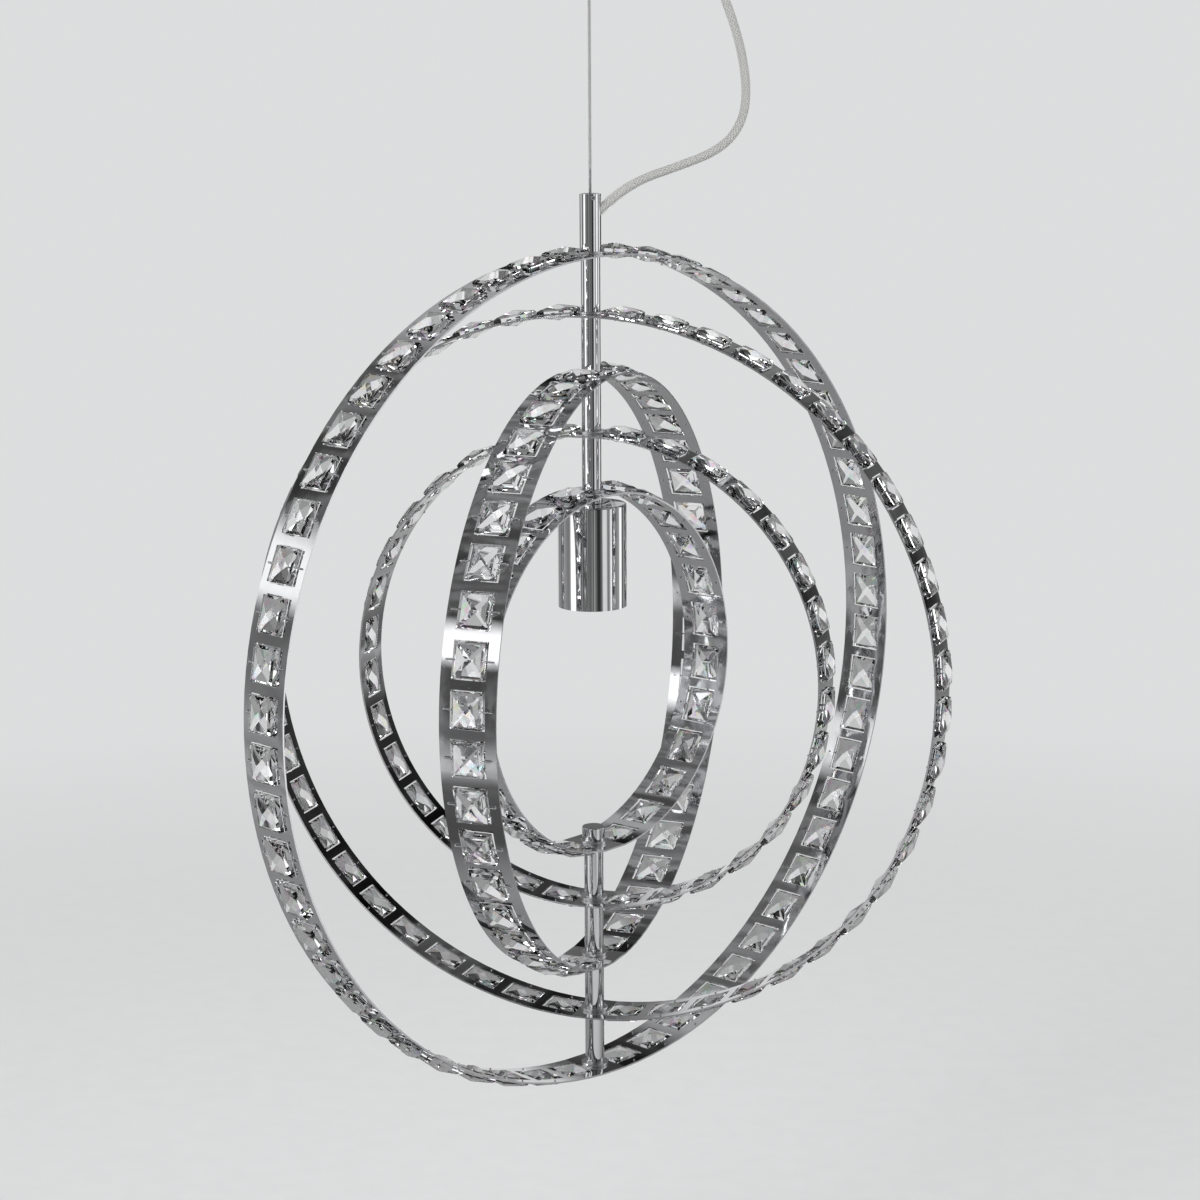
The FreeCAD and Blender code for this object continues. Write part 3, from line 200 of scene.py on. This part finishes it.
# The studio's lamps: three large soft lamps, from the left, from the right and from
# above, all turned to the middle of the orb. They light the object and the floor only.
orb_middle = Vector(frame["joints"][0]["pos_m"])
for name, place, wide, tall, power in (
        ("key_lamp", (-1.7, -1.9, 0.7), 1.2, 1.8, 34.0),
        ("fill_lamp", (2.3, -1.2, 0.1), 1.0, 1.8, 16.0),
        ("top_lamp", (0.3, 0.4, 1.6), 1.6, 1.6, 18.0)):
    bpy.ops.object.light_add(type="AREA", location=place)
    lamp = bpy.context.object
    lamp.name = name
    lamp.data.shape = "RECTANGLE"
    lamp.data.size = wide
    lamp.data.size_y = tall
    lamp.data.energy = power
    lamp.visible_camera = False
    lamp.visible_glossy = False
    lamp.rotation_euler = (orb_middle - Vector(place)).to_track_quat("-Z", "Y").to_euler()


# The ceiling part's steel: strap bracket, hollow nipple, hexagon nuts over and under the
# strap with a like one in the lamp cup, and the gland's nut, all zinc plated.
def material(name, **fixed):
    made = bpy.data.materials.new(name)
    made.use_nodes = True
    shader = made.node_tree.nodes["Principled BSDF"]
    for socket, value in fixed.items():
        shader.inputs[socket.replace("_", " ")].default_value = value
    return made, made.node_tree, shader.inputs


def dress(finish, *names):
    for name in names:
        for place in frame["nodes"][name].material_slots:
            place.material = finish


def span(tree, value, low, high, first, last):
    return node(tree, "MapRange", {"Value": value, "From Min": low, "From Max": high,
                                   "To Min": first, "To Max": last}).outputs[0]


def bump(tree, height, depth, normal=None):
    sockets = {"Height": height, "Distance": depth, "Strength": 1.0}
    if normal is not None:
        sockets["Normal"] = normal
    return node(tree, "Bump", sockets).outputs["Normal"]


handling = bpy.data.node_groups.new("handled_surface", "ShaderNodeTree")
for name, kind, value in (("Vector", "NodeSocketVector", None), ("Ripple Scale", "NodeSocketFloat", 12.0),
                          ("Lines", "NodeSocketVector", (40.0, 40.0, 1200.0))):
    socket = handling.interface.new_socket(name, in_out="INPUT", socket_type=kind)
    if value is not None:
        socket.default_value = value
for name in ("Ripple", "Haze", "Line", "Dust"):
    handling.interface.new_socket(name, in_out="OUTPUT", socket_type="NodeSocketFloat")
given = handling.nodes.new("NodeGroupInput").outputs
put_out = handling.nodes.new("NodeGroupOutput").inputs
ripple = node(handling, "TexNoise", {"Vector": given["Vector"], "Scale": given["Ripple Scale"],
                                     "Detail": 1.0})
haze = node(handling, "TexNoise", {"Vector": given["Vector"], "Scale": 55.0, "Detail": 5.0,
                                   "Roughness": 0.6})
stretched = node(handling, "VectorMath", {0: given["Vector"], 1: given["Lines"]}, operation="MULTIPLY")
line = node(handling, "TexNoise", {"Vector": stretched.outputs[0], "Scale": 1.0, "Detail": 3.0})
dust = node(handling, "TexNoise", {"Vector": given["Vector"], "Scale": 900.0, "Detail": 2.0})
handling.links.new(ripple.outputs["Fac"], put_out["Ripple"])
handling.links.new(span(handling, haze.outputs["Fac"], 0.42, 0.72, 0.0, 1.0), put_out["Haze"])
handling.links.new(line.outputs["Fac"], put_out["Line"])
handling.links.new(span(handling, dust.outputs["Fac"], 0.68, 0.78, 0.0, 1.0), put_out["Dust"])


def handled(tree, ripples, lines):
    made = tree.nodes.new("ShaderNodeGroup")
    made.node_tree = handling
    tree.links.new(node(tree, "TexCoord").outputs["Object"], made.inputs["Vector"])
    made.inputs["Ripple Scale"].default_value = ripples
    made.inputs["Lines"].default_value = lines
    return made.outputs


def tinted(tree, marks, clean, cloudy):
    return ramp(tree, marks["Haze"], [(0.0, (*clean, 1.0)), (1.0, (*cloudy, 1.0))])


def hazed(tree, marks, shader, clean, cloudy, smooth, dull):
    tree.links.new(tinted(tree, marks, clean, cloudy), shader["Base Color"])
    tree.links.new(span(tree, marks["Haze"], 0.0, 1.0, smooth, dull), shader["Roughness"])


zinc, tree, steel = material("zinc_plate", Metallic=1.0)
marks = handled(tree, 30.0, (900.0, 900.0, 60.0))
hazed(tree, marks, steel, (0.72, 0.73, 0.745), (0.62, 0.635, 0.665), 0.28, 0.45)
tree.links.new(bump(tree, marks["Line"], 0.00006), steel["Normal"])
dress(zinc, "ceiling_bracket", "mounting_nipple", "rod_nuts", "gland_nut")


# The ceiling part's chromed pieces: cover, wire gripper with its plunger, and cord gland,
# spun or turned, polished and chrome plated.
def polished(tree, marks, smooth, dull):
    hazy = span(tree, marks["Haze"], 0.0, 1.0, smooth, dull)
    dusty = span(tree, marks["Dust"], 0.0, 1.0, 0.0, 0.2)
    return node(tree, "Math", {0: hazy, 1: dusty}, operation="ADD").outputs[0]


def chrome(name, ripples, lines):
    made, tree, plate = material(name, Metallic=1.0)
    marks = handled(tree, ripples, lines)
    tree.links.new(tinted(tree, marks, (0.71, 0.715, 0.725), (0.66, 0.665, 0.675)), plate["Base Color"])
    tree.links.new(polished(tree, marks, 0.02, 0.075), plate["Roughness"])
    wavy = bump(tree, marks["Ripple"], 0.00012)
    tree.links.new(bump(tree, marks["Line"], 0.000004, wavy), plate["Normal"])
    return made


spun_chrome = chrome("chrome_spun", 18.0, (12.0, 12.0, 700.0))
dress(spun_chrome, "canopy_cover", "wire_gripper", "gripper_plunger", "cord_gland")


# The terminal strip: three joined black moulded poles on the cover's floor, each with a
# raised head, a bore for the wires, two screw holes and a brass sleeve pressed in.
moulded, tree, plastic = material("black_moulding", Metallic=0.0)
marks = handled(tree, 60.0, (400.0, 400.0, 400.0))
hazed(tree, marks, plastic, (0.025, 0.025, 0.027), (0.045, 0.045, 0.047), 0.3, 0.5)
tree.links.new(bump(tree, marks["Line"], 0.00002), plastic["Normal"])
pole_size, first_pole, pole_height = (0.020, 0.0080, 0.0090), 0.018, -0.0225
head_inset, head_rise, edge_round = 0.0011, 0.0030, 0.0004
wire_bore, wire_bore_length, wire_bore_height = 0.0023, 0.022, -0.021
screw_hole, screw_hole_depth, screw_hole_height, screw_hole_aside = 0.0021, 0.0060, -0.0155, 0.0055


def drill(piece, radius, depth, place, tilt):
    bpy.ops.object.select_all(action="DESELECT")
    bpy.ops.mesh.primitive_cylinder_add(vertices=32, radius=radius, depth=depth, location=place,
                                        rotation=(0.0, tilt, 0.0))
    bit = bpy.context.object
    bpy.context.view_layer.objects.active = piece
    bore = piece.modifiers.new("bore", "BOOLEAN")
    bore.object = bit
    bpy.ops.object.modifier_apply(modifier="bore")
    bpy.data.objects.remove(bit)


def join(pieces, name):
    bpy.ops.object.select_all(action="DESELECT")
    for piece in pieces:
        piece.select_set(True)
    bpy.context.view_layer.objects.active = pieces[0]
    bpy.ops.object.join()
    pieces[0].name = name
    return pieces[0]


bpy.ops.object.select_all(action="DESELECT")
bpy.ops.mesh.primitive_cube_add(size=1.0, location=(0.0, first_pole, pole_height), scale=pole_size)
pole = bpy.context.object
bpy.ops.object.transform_apply(location=True, scale=True)
bpy.ops.object.mode_set(mode="EDIT")
bpy.ops.mesh.select_all(action="DESELECT")
bpy.ops.mesh.select_mode(type="FACE")
bpy.ops.object.mode_set(mode="OBJECT")
for side in pole.data.polygons:
    side.select = side.normal.z > 0.5
bpy.ops.object.mode_set(mode="EDIT")
bpy.ops.mesh.inset(thickness=head_inset)
bpy.ops.mesh.extrude_region_move(TRANSFORM_OT_translate={"value": (0.0, 0.0, head_rise)})
bpy.ops.object.mode_set(mode="OBJECT")
drill(pole, wire_bore, wire_bore_length, (0.0, first_pole, wire_bore_height), math.pi / 2)
for aside in (-screw_hole_aside, screw_hole_aside):
    drill(pole, screw_hole, screw_hole_depth, (aside, first_pole, screw_hole_height), 0.0)
rounding = pole.modifiers.new("rounding", "BEVEL")
rounding.width = edge_round
rounding.segments = 2
rounding.limit_method = "ANGLE"
bpy.ops.object.modifier_apply(modifier="rounding")
poles = [pole]
for k in (1, 2):
    twin = pole.copy()
    twin.data = pole.data.copy()
    twin.data.transform(Matrix.Translation((0.0, k * pole_size[1], 0.0)))
    bpy.context.collection.objects.link(twin)
    poles.append(twin)
strip = join(poles, "terminal_strip")
bpy.ops.object.shade_smooth_by_angle(angle=math.radians(35))
strip.data.materials.append(moulded)
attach(strip, "hanging_stem")
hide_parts("terminal_block")
brass, tree, metal = material("brass", Metallic=1.0)
marks = handled(tree, 80.0, (700.0, 700.0, 60.0))
hazed(tree, marks, metal, (0.80, 0.62, 0.32), (0.62, 0.45, 0.22), 0.14, 0.34)
tree.links.new(bump(tree, marks["Line"], 0.00002), metal["Normal"])
dress(brass, "terminal_sleeves")


# The supply cord: silvery braid in a clear round jacket, in one S from the top tube's side
# hole to the gland in the cover, with a tapered clear sleeve where it leaves the tube.
route = [(0.003112, 0, -0.303402), (0.016276, 0, -0.291126), (0.0349, -0.001, -0.27951),
         (0.06, -0.002, -0.27111), (0.0862, -0.0035, -0.26091), (0.1006, -0.0045, -0.24661),
         (0.1064, -0.005, -0.22561), (0.1022, -0.004, -0.19141), (0.087, -0.003, -0.14851),
         (0.0675, -0.002, -0.10701), (0.0515, -0.0006, -0.07501), (0.048, 0, -0.046), (0.048, 0, -0.02)]
jacket_radius, braid_radius, core_radius = 0.0033, 0.00285, 0.0025


def cord_curve(name, radius):
    curve = bpy.data.curves.new(name, "CURVE")
    curve.dimensions = "3D"
    curve.resolution_u = 24
    curve.bevel_depth = radius
    curve.bevel_resolution = 6
    curve.use_fill_caps = radius > 0
    spline = curve.splines.new("NURBS")
    spline.points.add(len(route) - 1)
    for point, place in zip(spline.points, route):
        point.co = (*place, 1.0)
    spline.order_u = 3
    spline.use_endpoint_u = True
    made = bpy.data.objects.new(name, curve)
    bpy.context.collection.objects.link(made)
    return made


jacket = cord_curve("cord_jacket", jacket_radius)
clear_jacket, tree, plastic = material("clear_jacket", IOR=1.5)
marks = handled(tree, 90.0, (60.0, 60.0, 60.0))
hazed(tree, marks, plastic, (0.90, 0.90, 0.885), (0.83, 0.83, 0.81), 0.08, 0.22)
tree.links.new(span(tree, marks["Haze"], 0.0, 1.0, 0.13, 0.20), plastic["Alpha"])
tree.links.new(bump(tree, marks["Ripple"], 0.00025), plastic["Normal"])
jacket.data.materials.append(clear_jacket)
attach(jacket, "hanging_stem")
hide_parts("supply_cord")
dress(clear_jacket, "cord_grommet")

thread_line = cord_curve("cord_line", 0.0)
bpy.context.view_layer.update()
traced = bpy.data.meshes.new_from_object(thread_line)
line_points = [corner.co.copy() for corner in traced.vertices]
bpy.data.objects.remove(thread_line)
bpy.data.meshes.remove(traced)


def even_points(step):
    run = [0.0]
    for here, there in zip(line_points, line_points[1:]):
        run.append(run[-1] + (there - here).length)
    count = int(run[-1] / step)
    found, k = [], 0
    for n in range(count + 1):
        want = run[-1] * n / count
        while k < len(run) - 2 and run[k + 1] < want:
            k += 1
        share = (want - run[k]) / (run[k + 1] - run[k])
        found.append(line_points[k].lerp(line_points[k + 1], share))
    return found, run[-1] / count


def frames_along(points):
    side, found = Vector((0, 1, 0)), []
    for n, here in enumerate(points):
        along = (points[min(n + 1, len(points) - 1)] - points[max(n - 1, 0)]).normalized()
        side = (side - side.dot(along) * along).normalized()
        found.append((here, side, along.cross(side)))
    return found


def beside(here, side, across, reach, angle):
    return here + reach * (math.cos(angle) * side + math.sin(angle) * across)


def mesh_piece(name, corners, faces):
    mesh = bpy.data.meshes.new(name)
    mesh.from_pydata(corners, [], faces)
    mesh.shade_smooth()
    made = bpy.data.objects.new(name, mesh)
    bpy.context.collection.objects.link(made)
    return made


def face_outwards(piece):
    bpy.ops.object.select_all(action="DESELECT")
    piece.select_set(True)
    bpy.context.view_layer.objects.active = piece
    bpy.ops.object.mode_set(mode="EDIT")
    bpy.ops.mesh.select_all(action="SELECT")
    bpy.ops.mesh.normals_make_consistent(inside=False)
    bpy.ops.object.mode_set(mode="OBJECT")


braid_spacing, lay, carriers, half_width = 0.0004, 0.024, 8, 0.00074
weave_depth, edge_drop, crown, rows_in_map = 0.00011, -0.00006, 0.00003, 40
braid_points, braid_step = even_points(braid_spacing)
braid_frames = frames_along(braid_points)
corners, faces = [], []
for way_round in (1, -1):
    for strand in range(carriers):
        first = len(corners)
        for n, (here, side, across) in enumerate(braid_frames):
            turned = 2 * math.pi * n * braid_step / lay
            weave = weave_depth * way_round * math.cos(2 * carriers * turned)
            middle = way_round * turned + 2 * math.pi * strand / carriers
            for edge, rise in ((-1, edge_drop), (0, crown), (1, edge_drop)):
                angle = middle + edge * half_width / braid_radius
                corners.append(beside(here, side, across, braid_radius + weave + rise, angle))
        for n in range(len(braid_frames) - 1):
            for k in (0, 1):
                a = first + 3 * n + k
                faces.append((a, a + 1, a + 4, a + 3))
braid = mesh_piece("cord_braid", corners, faces)
strand_map = braid.data.uv_layers.new(name="strand")
for loop in braid.data.loops:
    row, across_row = divmod(loop.vertex_index, 3)
    strand_map.data[loop.index].uv = (across_row / 2, row % len(braid_frames) / rows_in_map)
tinned, tree, metal = material("tinned_braid", Metallic=0.35)
across_strand = node(tree, "UVMap", uv_map="strand").outputs[0]
wave = node(tree, "TexWave", {"Vector": across_strand, "Scale": 1.9, "Distortion": 0.3}, bands_direction="X")
wires = wave.outputs["Fac"]
# painted highlight along each fine wire and painted shade in the grooves between them
painted_wire_glint_and_shade = ramp(tree, wires, [
    (0.0, (0.50, 0.50, 0.49, 1.0)), (0.4, (0.84, 0.84, 0.82, 1.0)), (1.0, (0.95, 0.95, 0.93, 1.0))])
tree.links.new(painted_wire_glint_and_shade, metal["Base Color"])
tree.links.new(span(tree, wires, 0.0, 1.0, 0.5, 0.28), metal["Roughness"])
tree.links.new(bump(tree, wires, 0.00006), metal["Normal"])
braid.data.materials.append(tinned)

core = cord_curve("cord_core", core_radius)
insulation, tree, plastic = material("lead_insulation", Metallic=0.0)
marks = handled(tree, 120.0, (80.0, 80.0, 80.0))
hazed(tree, marks, plastic, (0.46, 0.46, 0.44), (0.38, 0.38, 0.37), 0.3, 0.45)
core.data.materials.append(insulation)

sleeve_foot, sleeve_taper, sleeve_bore, sides = 0.0040, 0.00055, 0.00332, 24
sleeve_spacing, sleeve_from, sleeve_to = 0.0015, 8, 24
sleeve_frames = frames_along(even_points(sleeve_spacing)[0][sleeve_from:sleeve_to])
profile = [(*place, sleeve_foot - sleeve_taper * n / (len(sleeve_frames) - 1))
           for n, place in enumerate(sleeve_frames)]
profile += [(*place, sleeve_bore) for place in reversed(sleeve_frames)]
corners, faces = [], []
for here, side, across, reach in profile:
    corners += [beside(here, side, across, reach, 2 * math.pi * k / sides) for k in range(sides)]
for n in range(len(profile)):
    m = (n + 1) % len(profile)
    for k in range(sides):
        j = (k + 1) % sides
        faces.append((n * sides + k, n * sides + j, m * sides + j, m * sides + k))
sleeve = mesh_piece("cord_sleeve", corners, faces)
face_outwards(sleeve)
bpy.ops.object.shade_smooth_by_angle(angle=math.radians(40))
sleeve.data.materials.append(clear_jacket)
for piece in (braid, core, sleeve):
    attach(piece, "hanging_stem")


# The leads: three thin insulated wires from the cord's upper end over the gland to the
# terminal strip, and three from its lower end down the hollow rod to the lampholder.
dress(insulation, "stem_leads", "canopy_leads")


# The suspension wire: seven strands of steel laid round each other, 2 mm thick, from the
# stop in the top tube's plug up into the gripper, with a clear sleeve over it.
strand_wire, tree, steel = material("wire_strand", Metallic=1.0)
marks = handled(tree, 200.0, (900.0, 900.0, 200.0))
hazed(tree, marks, steel, (0.74, 0.74, 0.75), (0.62, 0.62, 0.64), 0.34, 0.5)
foot, head, turns, steps_per_turn = -0.2945, -0.008, 30, 10
strand_radius, strand_reach = 0.00034, 0.00066
bpy.ops.object.select_all(action="DESELECT")
strands = []
for k in range(7):
    reach = strand_reach if k else 0.0
    place = (reach * math.cos(k * math.pi / 3), reach * math.sin(k * math.pi / 3), foot)
    bpy.ops.mesh.primitive_circle_add(vertices=8, radius=strand_radius, location=place)
    strand = bpy.context.object
    bpy.ops.object.transform_apply(location=True)
    laid = strand.modifiers.new("lay", "SCREW")
    laid.screw_offset = (head - foot) / turns
    laid.iterations = turns
    laid.steps = laid.render_steps = steps_per_turn
    laid.use_merge_vertices = False
    bpy.ops.object.modifier_apply(modifier="lay")
    strands.append(strand)
rope = join(strands, "suspension_rope")
face_outwards(rope)
bpy.ops.object.shade_smooth()
rope.data.materials.append(strand_wire)
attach(rope, "hanging_stem")
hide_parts("suspension_wire")
dress(clear_jacket, "wire_sleeve")


# The stem: chromed tubes, cup and end pieces, drawn or turned and polished, over hidden
# zinc-plated rods that hold them in line and the plug that holds the wire's stop.
drawn_chrome = chrome("chrome_tube", 25.0, (600.0, 600.0, 14.0))
dress(drawn_chrome, "top_tube", "lamp_cup")
for k in (1, 2, 3, 4):
    dress(drawn_chrome, f"upper_stem_tube_{k}", f"lower_stem_tube_{k}")
dress(spun_chrome, "cup_nut", "bottom_nut", "lower_stem_end_cap")
dress(zinc, "upper_stem_rod", "lower_stem_rod", "top_tube_bush", "top_tube_plug", "plug_grub_screw",
      "wire_stop")


# The washers: pressed steel discs with a satin plating, nine above and nine below, that
# hold the bands off the tubes.
satin_chrome, tree, plate = material("chrome_satin", Metallic=1.0)
marks = handled(tree, 60.0, (300.0, 300.0, 900.0))
hazed(tree, marks, plate, (0.90, 0.90, 0.91), (0.82, 0.82, 0.83), 0.30, 0.40)
tree.links.new(bump(tree, marks["Line"], 0.00001), plate["Normal"])
dress(satin_chrome, "upper_stem_washers", "lower_stem_washers")


# The lampholder inside the cup: black moulded cap and skirt screwed together round a
# glazed porcelain insert with brass contacts.
dress(moulded, "lampholder_cap", "lampholder_skirt")
porcelain, tree, glaze = material("glazed_porcelain", Coat_Weight=0.6, Coat_Roughness=0.05)
marks = handled(tree, 60.0, (300.0, 300.0, 300.0))
hazed(tree, marks, glaze, (0.86, 0.85, 0.81), (0.80, 0.79, 0.75), 0.18, 0.32)
tree.links.new(bump(tree, marks["Ripple"], 0.0002), glaze["Normal"])
dress(porcelain, "lampholder_insert")
dress(brass, "centre_contact", "lampholder_terminals")


# The lamp's screw shell: thin brass sheet with the lamp's round thread rolled into it,
# set under the porcelain insert inside the skirt.
foot, head, pitch = -0.55764, -0.52964, 0.00362
shell_radius, thread_depth, foot_rim, head_rim, sheet_wall = 0.0133, 0.0011, 0.0015, 0.003, 0.0004
steps_round, steps_up = 72, 96
bpy.ops.object.select_all(action="DESELECT")
bpy.ops.mesh.primitive_grid_add(x_subdivisions=steps_round, y_subdivisions=steps_up, size=1.0)
shell = bpy.context.object
shell.name = "lamp_thread"
for corner in shell.data.vertices:
    angle, z = 2 * math.pi * (corner.co.x + 0.5), foot + (corner.co.y + 0.5) * (head - foot)
    rolled = min(1.0, (z - foot) / foot_rim, (head - z) / head_rim)
    reach = shell_radius - thread_depth * rolled * (0.5 + 0.5 * math.cos(2 * math.pi * z / pitch - angle))
    corner.co = (reach * math.cos(angle), reach * math.sin(angle), z)
bpy.ops.object.mode_set(mode="EDIT")
bpy.ops.mesh.select_all(action="SELECT")
bpy.ops.mesh.remove_doubles(threshold=0.00001)
bpy.ops.object.mode_set(mode="OBJECT")
face_outwards(shell)
sheet = shell.modifiers.new("wall", "SOLIDIFY")
sheet.thickness = sheet_wall
sheet.offset = 1.0
bpy.ops.object.modifier_apply(modifier="wall")
bpy.ops.object.shade_smooth_by_angle(angle=math.radians(50))
shell.data.materials.append(brass)
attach(shell, "hanging_stem")
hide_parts("lamp_screw_shell")


# The bands: flat chromed strips with stamped windows, bent by hand into rings, so the
# mirror faces waver a little; the cut edges stay duller, with a painted highlight tint.
band_chrome, tree, strip = material("chrome_strip", Metallic=1.0)
marks = handled(tree, 11.0, (90.0, 90.0, 90.0))
coordinates = node(tree, "TexCoord").outputs
middle = node(tree, "VectorMath", {0: coordinates["Object"], 1: -orb_middle}, operation="ADD").outputs[0]
outward = node(tree, "VectorMath", {0: middle}, operation="NORMALIZE").outputs[0]
facing = node(tree, "VectorMath", {0: outward, 1: coordinates["Normal"]}, operation="DOT_PRODUCT")
flat = node(tree, "Math", {0: facing.outputs["Value"]}, operation="ABSOLUTE").outputs[0]
# cut faces: rougher, and tinted lighter as a painted highlight for the light a rounded edge would catch
cut_edge = span(tree, flat, 0.75, 0.6, 0.0, 1.0)
tint = tinted(tree, marks, (0.70, 0.705, 0.72), (0.65, 0.655, 0.67))
tree.links.new(mix(tree, cut_edge, tint, (0.78, 0.78, 0.80, 1.0)), strip["Base Color"])
duller = span(tree, cut_edge, 0.0, 1.0, 0.0, 0.16)
rough = node(tree, "Math", {0: polished(tree, marks, 0.025, 0.09), 1: duller}, operation="ADD")
tree.links.new(rough.outputs[0], strip["Roughness"])
wavy = bump(tree, marks["Ripple"], 0.0009)
tree.links.new(bump(tree, marks["Line"], 0.00002, wavy), strip["Normal"])
dress(band_chrome, *(f"ring_{k}_band" for k in range(1, 6)))


# The crystals: clear glass squares, cut to a low pyramid on each face with a narrow bevel
# round it, and drilled in two opposite sides for the pins.
cut_glass, tree, glass = material("cut_glass", Roughness=0.03, IOR=1.52, Transmission_Weight=1.0)
spot = node(tree, "TexCoord").outputs["Object"]
# small cells of bright coloured tint: painted colour fire, standing in for the light the cut glass splits
# into colours
cells = node(tree, "TexVoronoi", {"Vector": spot, "Scale": 230.0}).outputs["Color"]
painted_colour_fire = node(tree, "HueSaturation", {"Saturation": 1.5, "Value": 1.25, "Color": cells}).outputs[0]
pick = node(tree, "TexNoise", {"Vector": spot, "Scale": 90.0, "Detail": 2.0}).outputs["Fac"]
share = span(tree, pick, 0.57, 0.70, 0.0, 0.45)
tree.links.new(mix(tree, share, (0.985, 0.99, 1.0, 1.0), painted_colour_fire), glass["Base Color"])
dress(cut_glass, *(f"ring_{k}_crystals" for k in range(1, 6)))


# The crystal pins: bright chromed wire, from each drilled side of a crystal over the face
# of the band and bent down through a hole beside the window.
pin_wire, tree, wire = material("pin_wire", Metallic=1.0)
marks = handled(tree, 200.0, (500.0, 500.0, 500.0))
hazed(tree, marks, wire, (0.78, 0.78, 0.80), (0.62, 0.62, 0.65), 0.08, 0.22)
dress(pin_wire, *(f"ring_{k}_crystal_pins" for k in range(1, 6)))
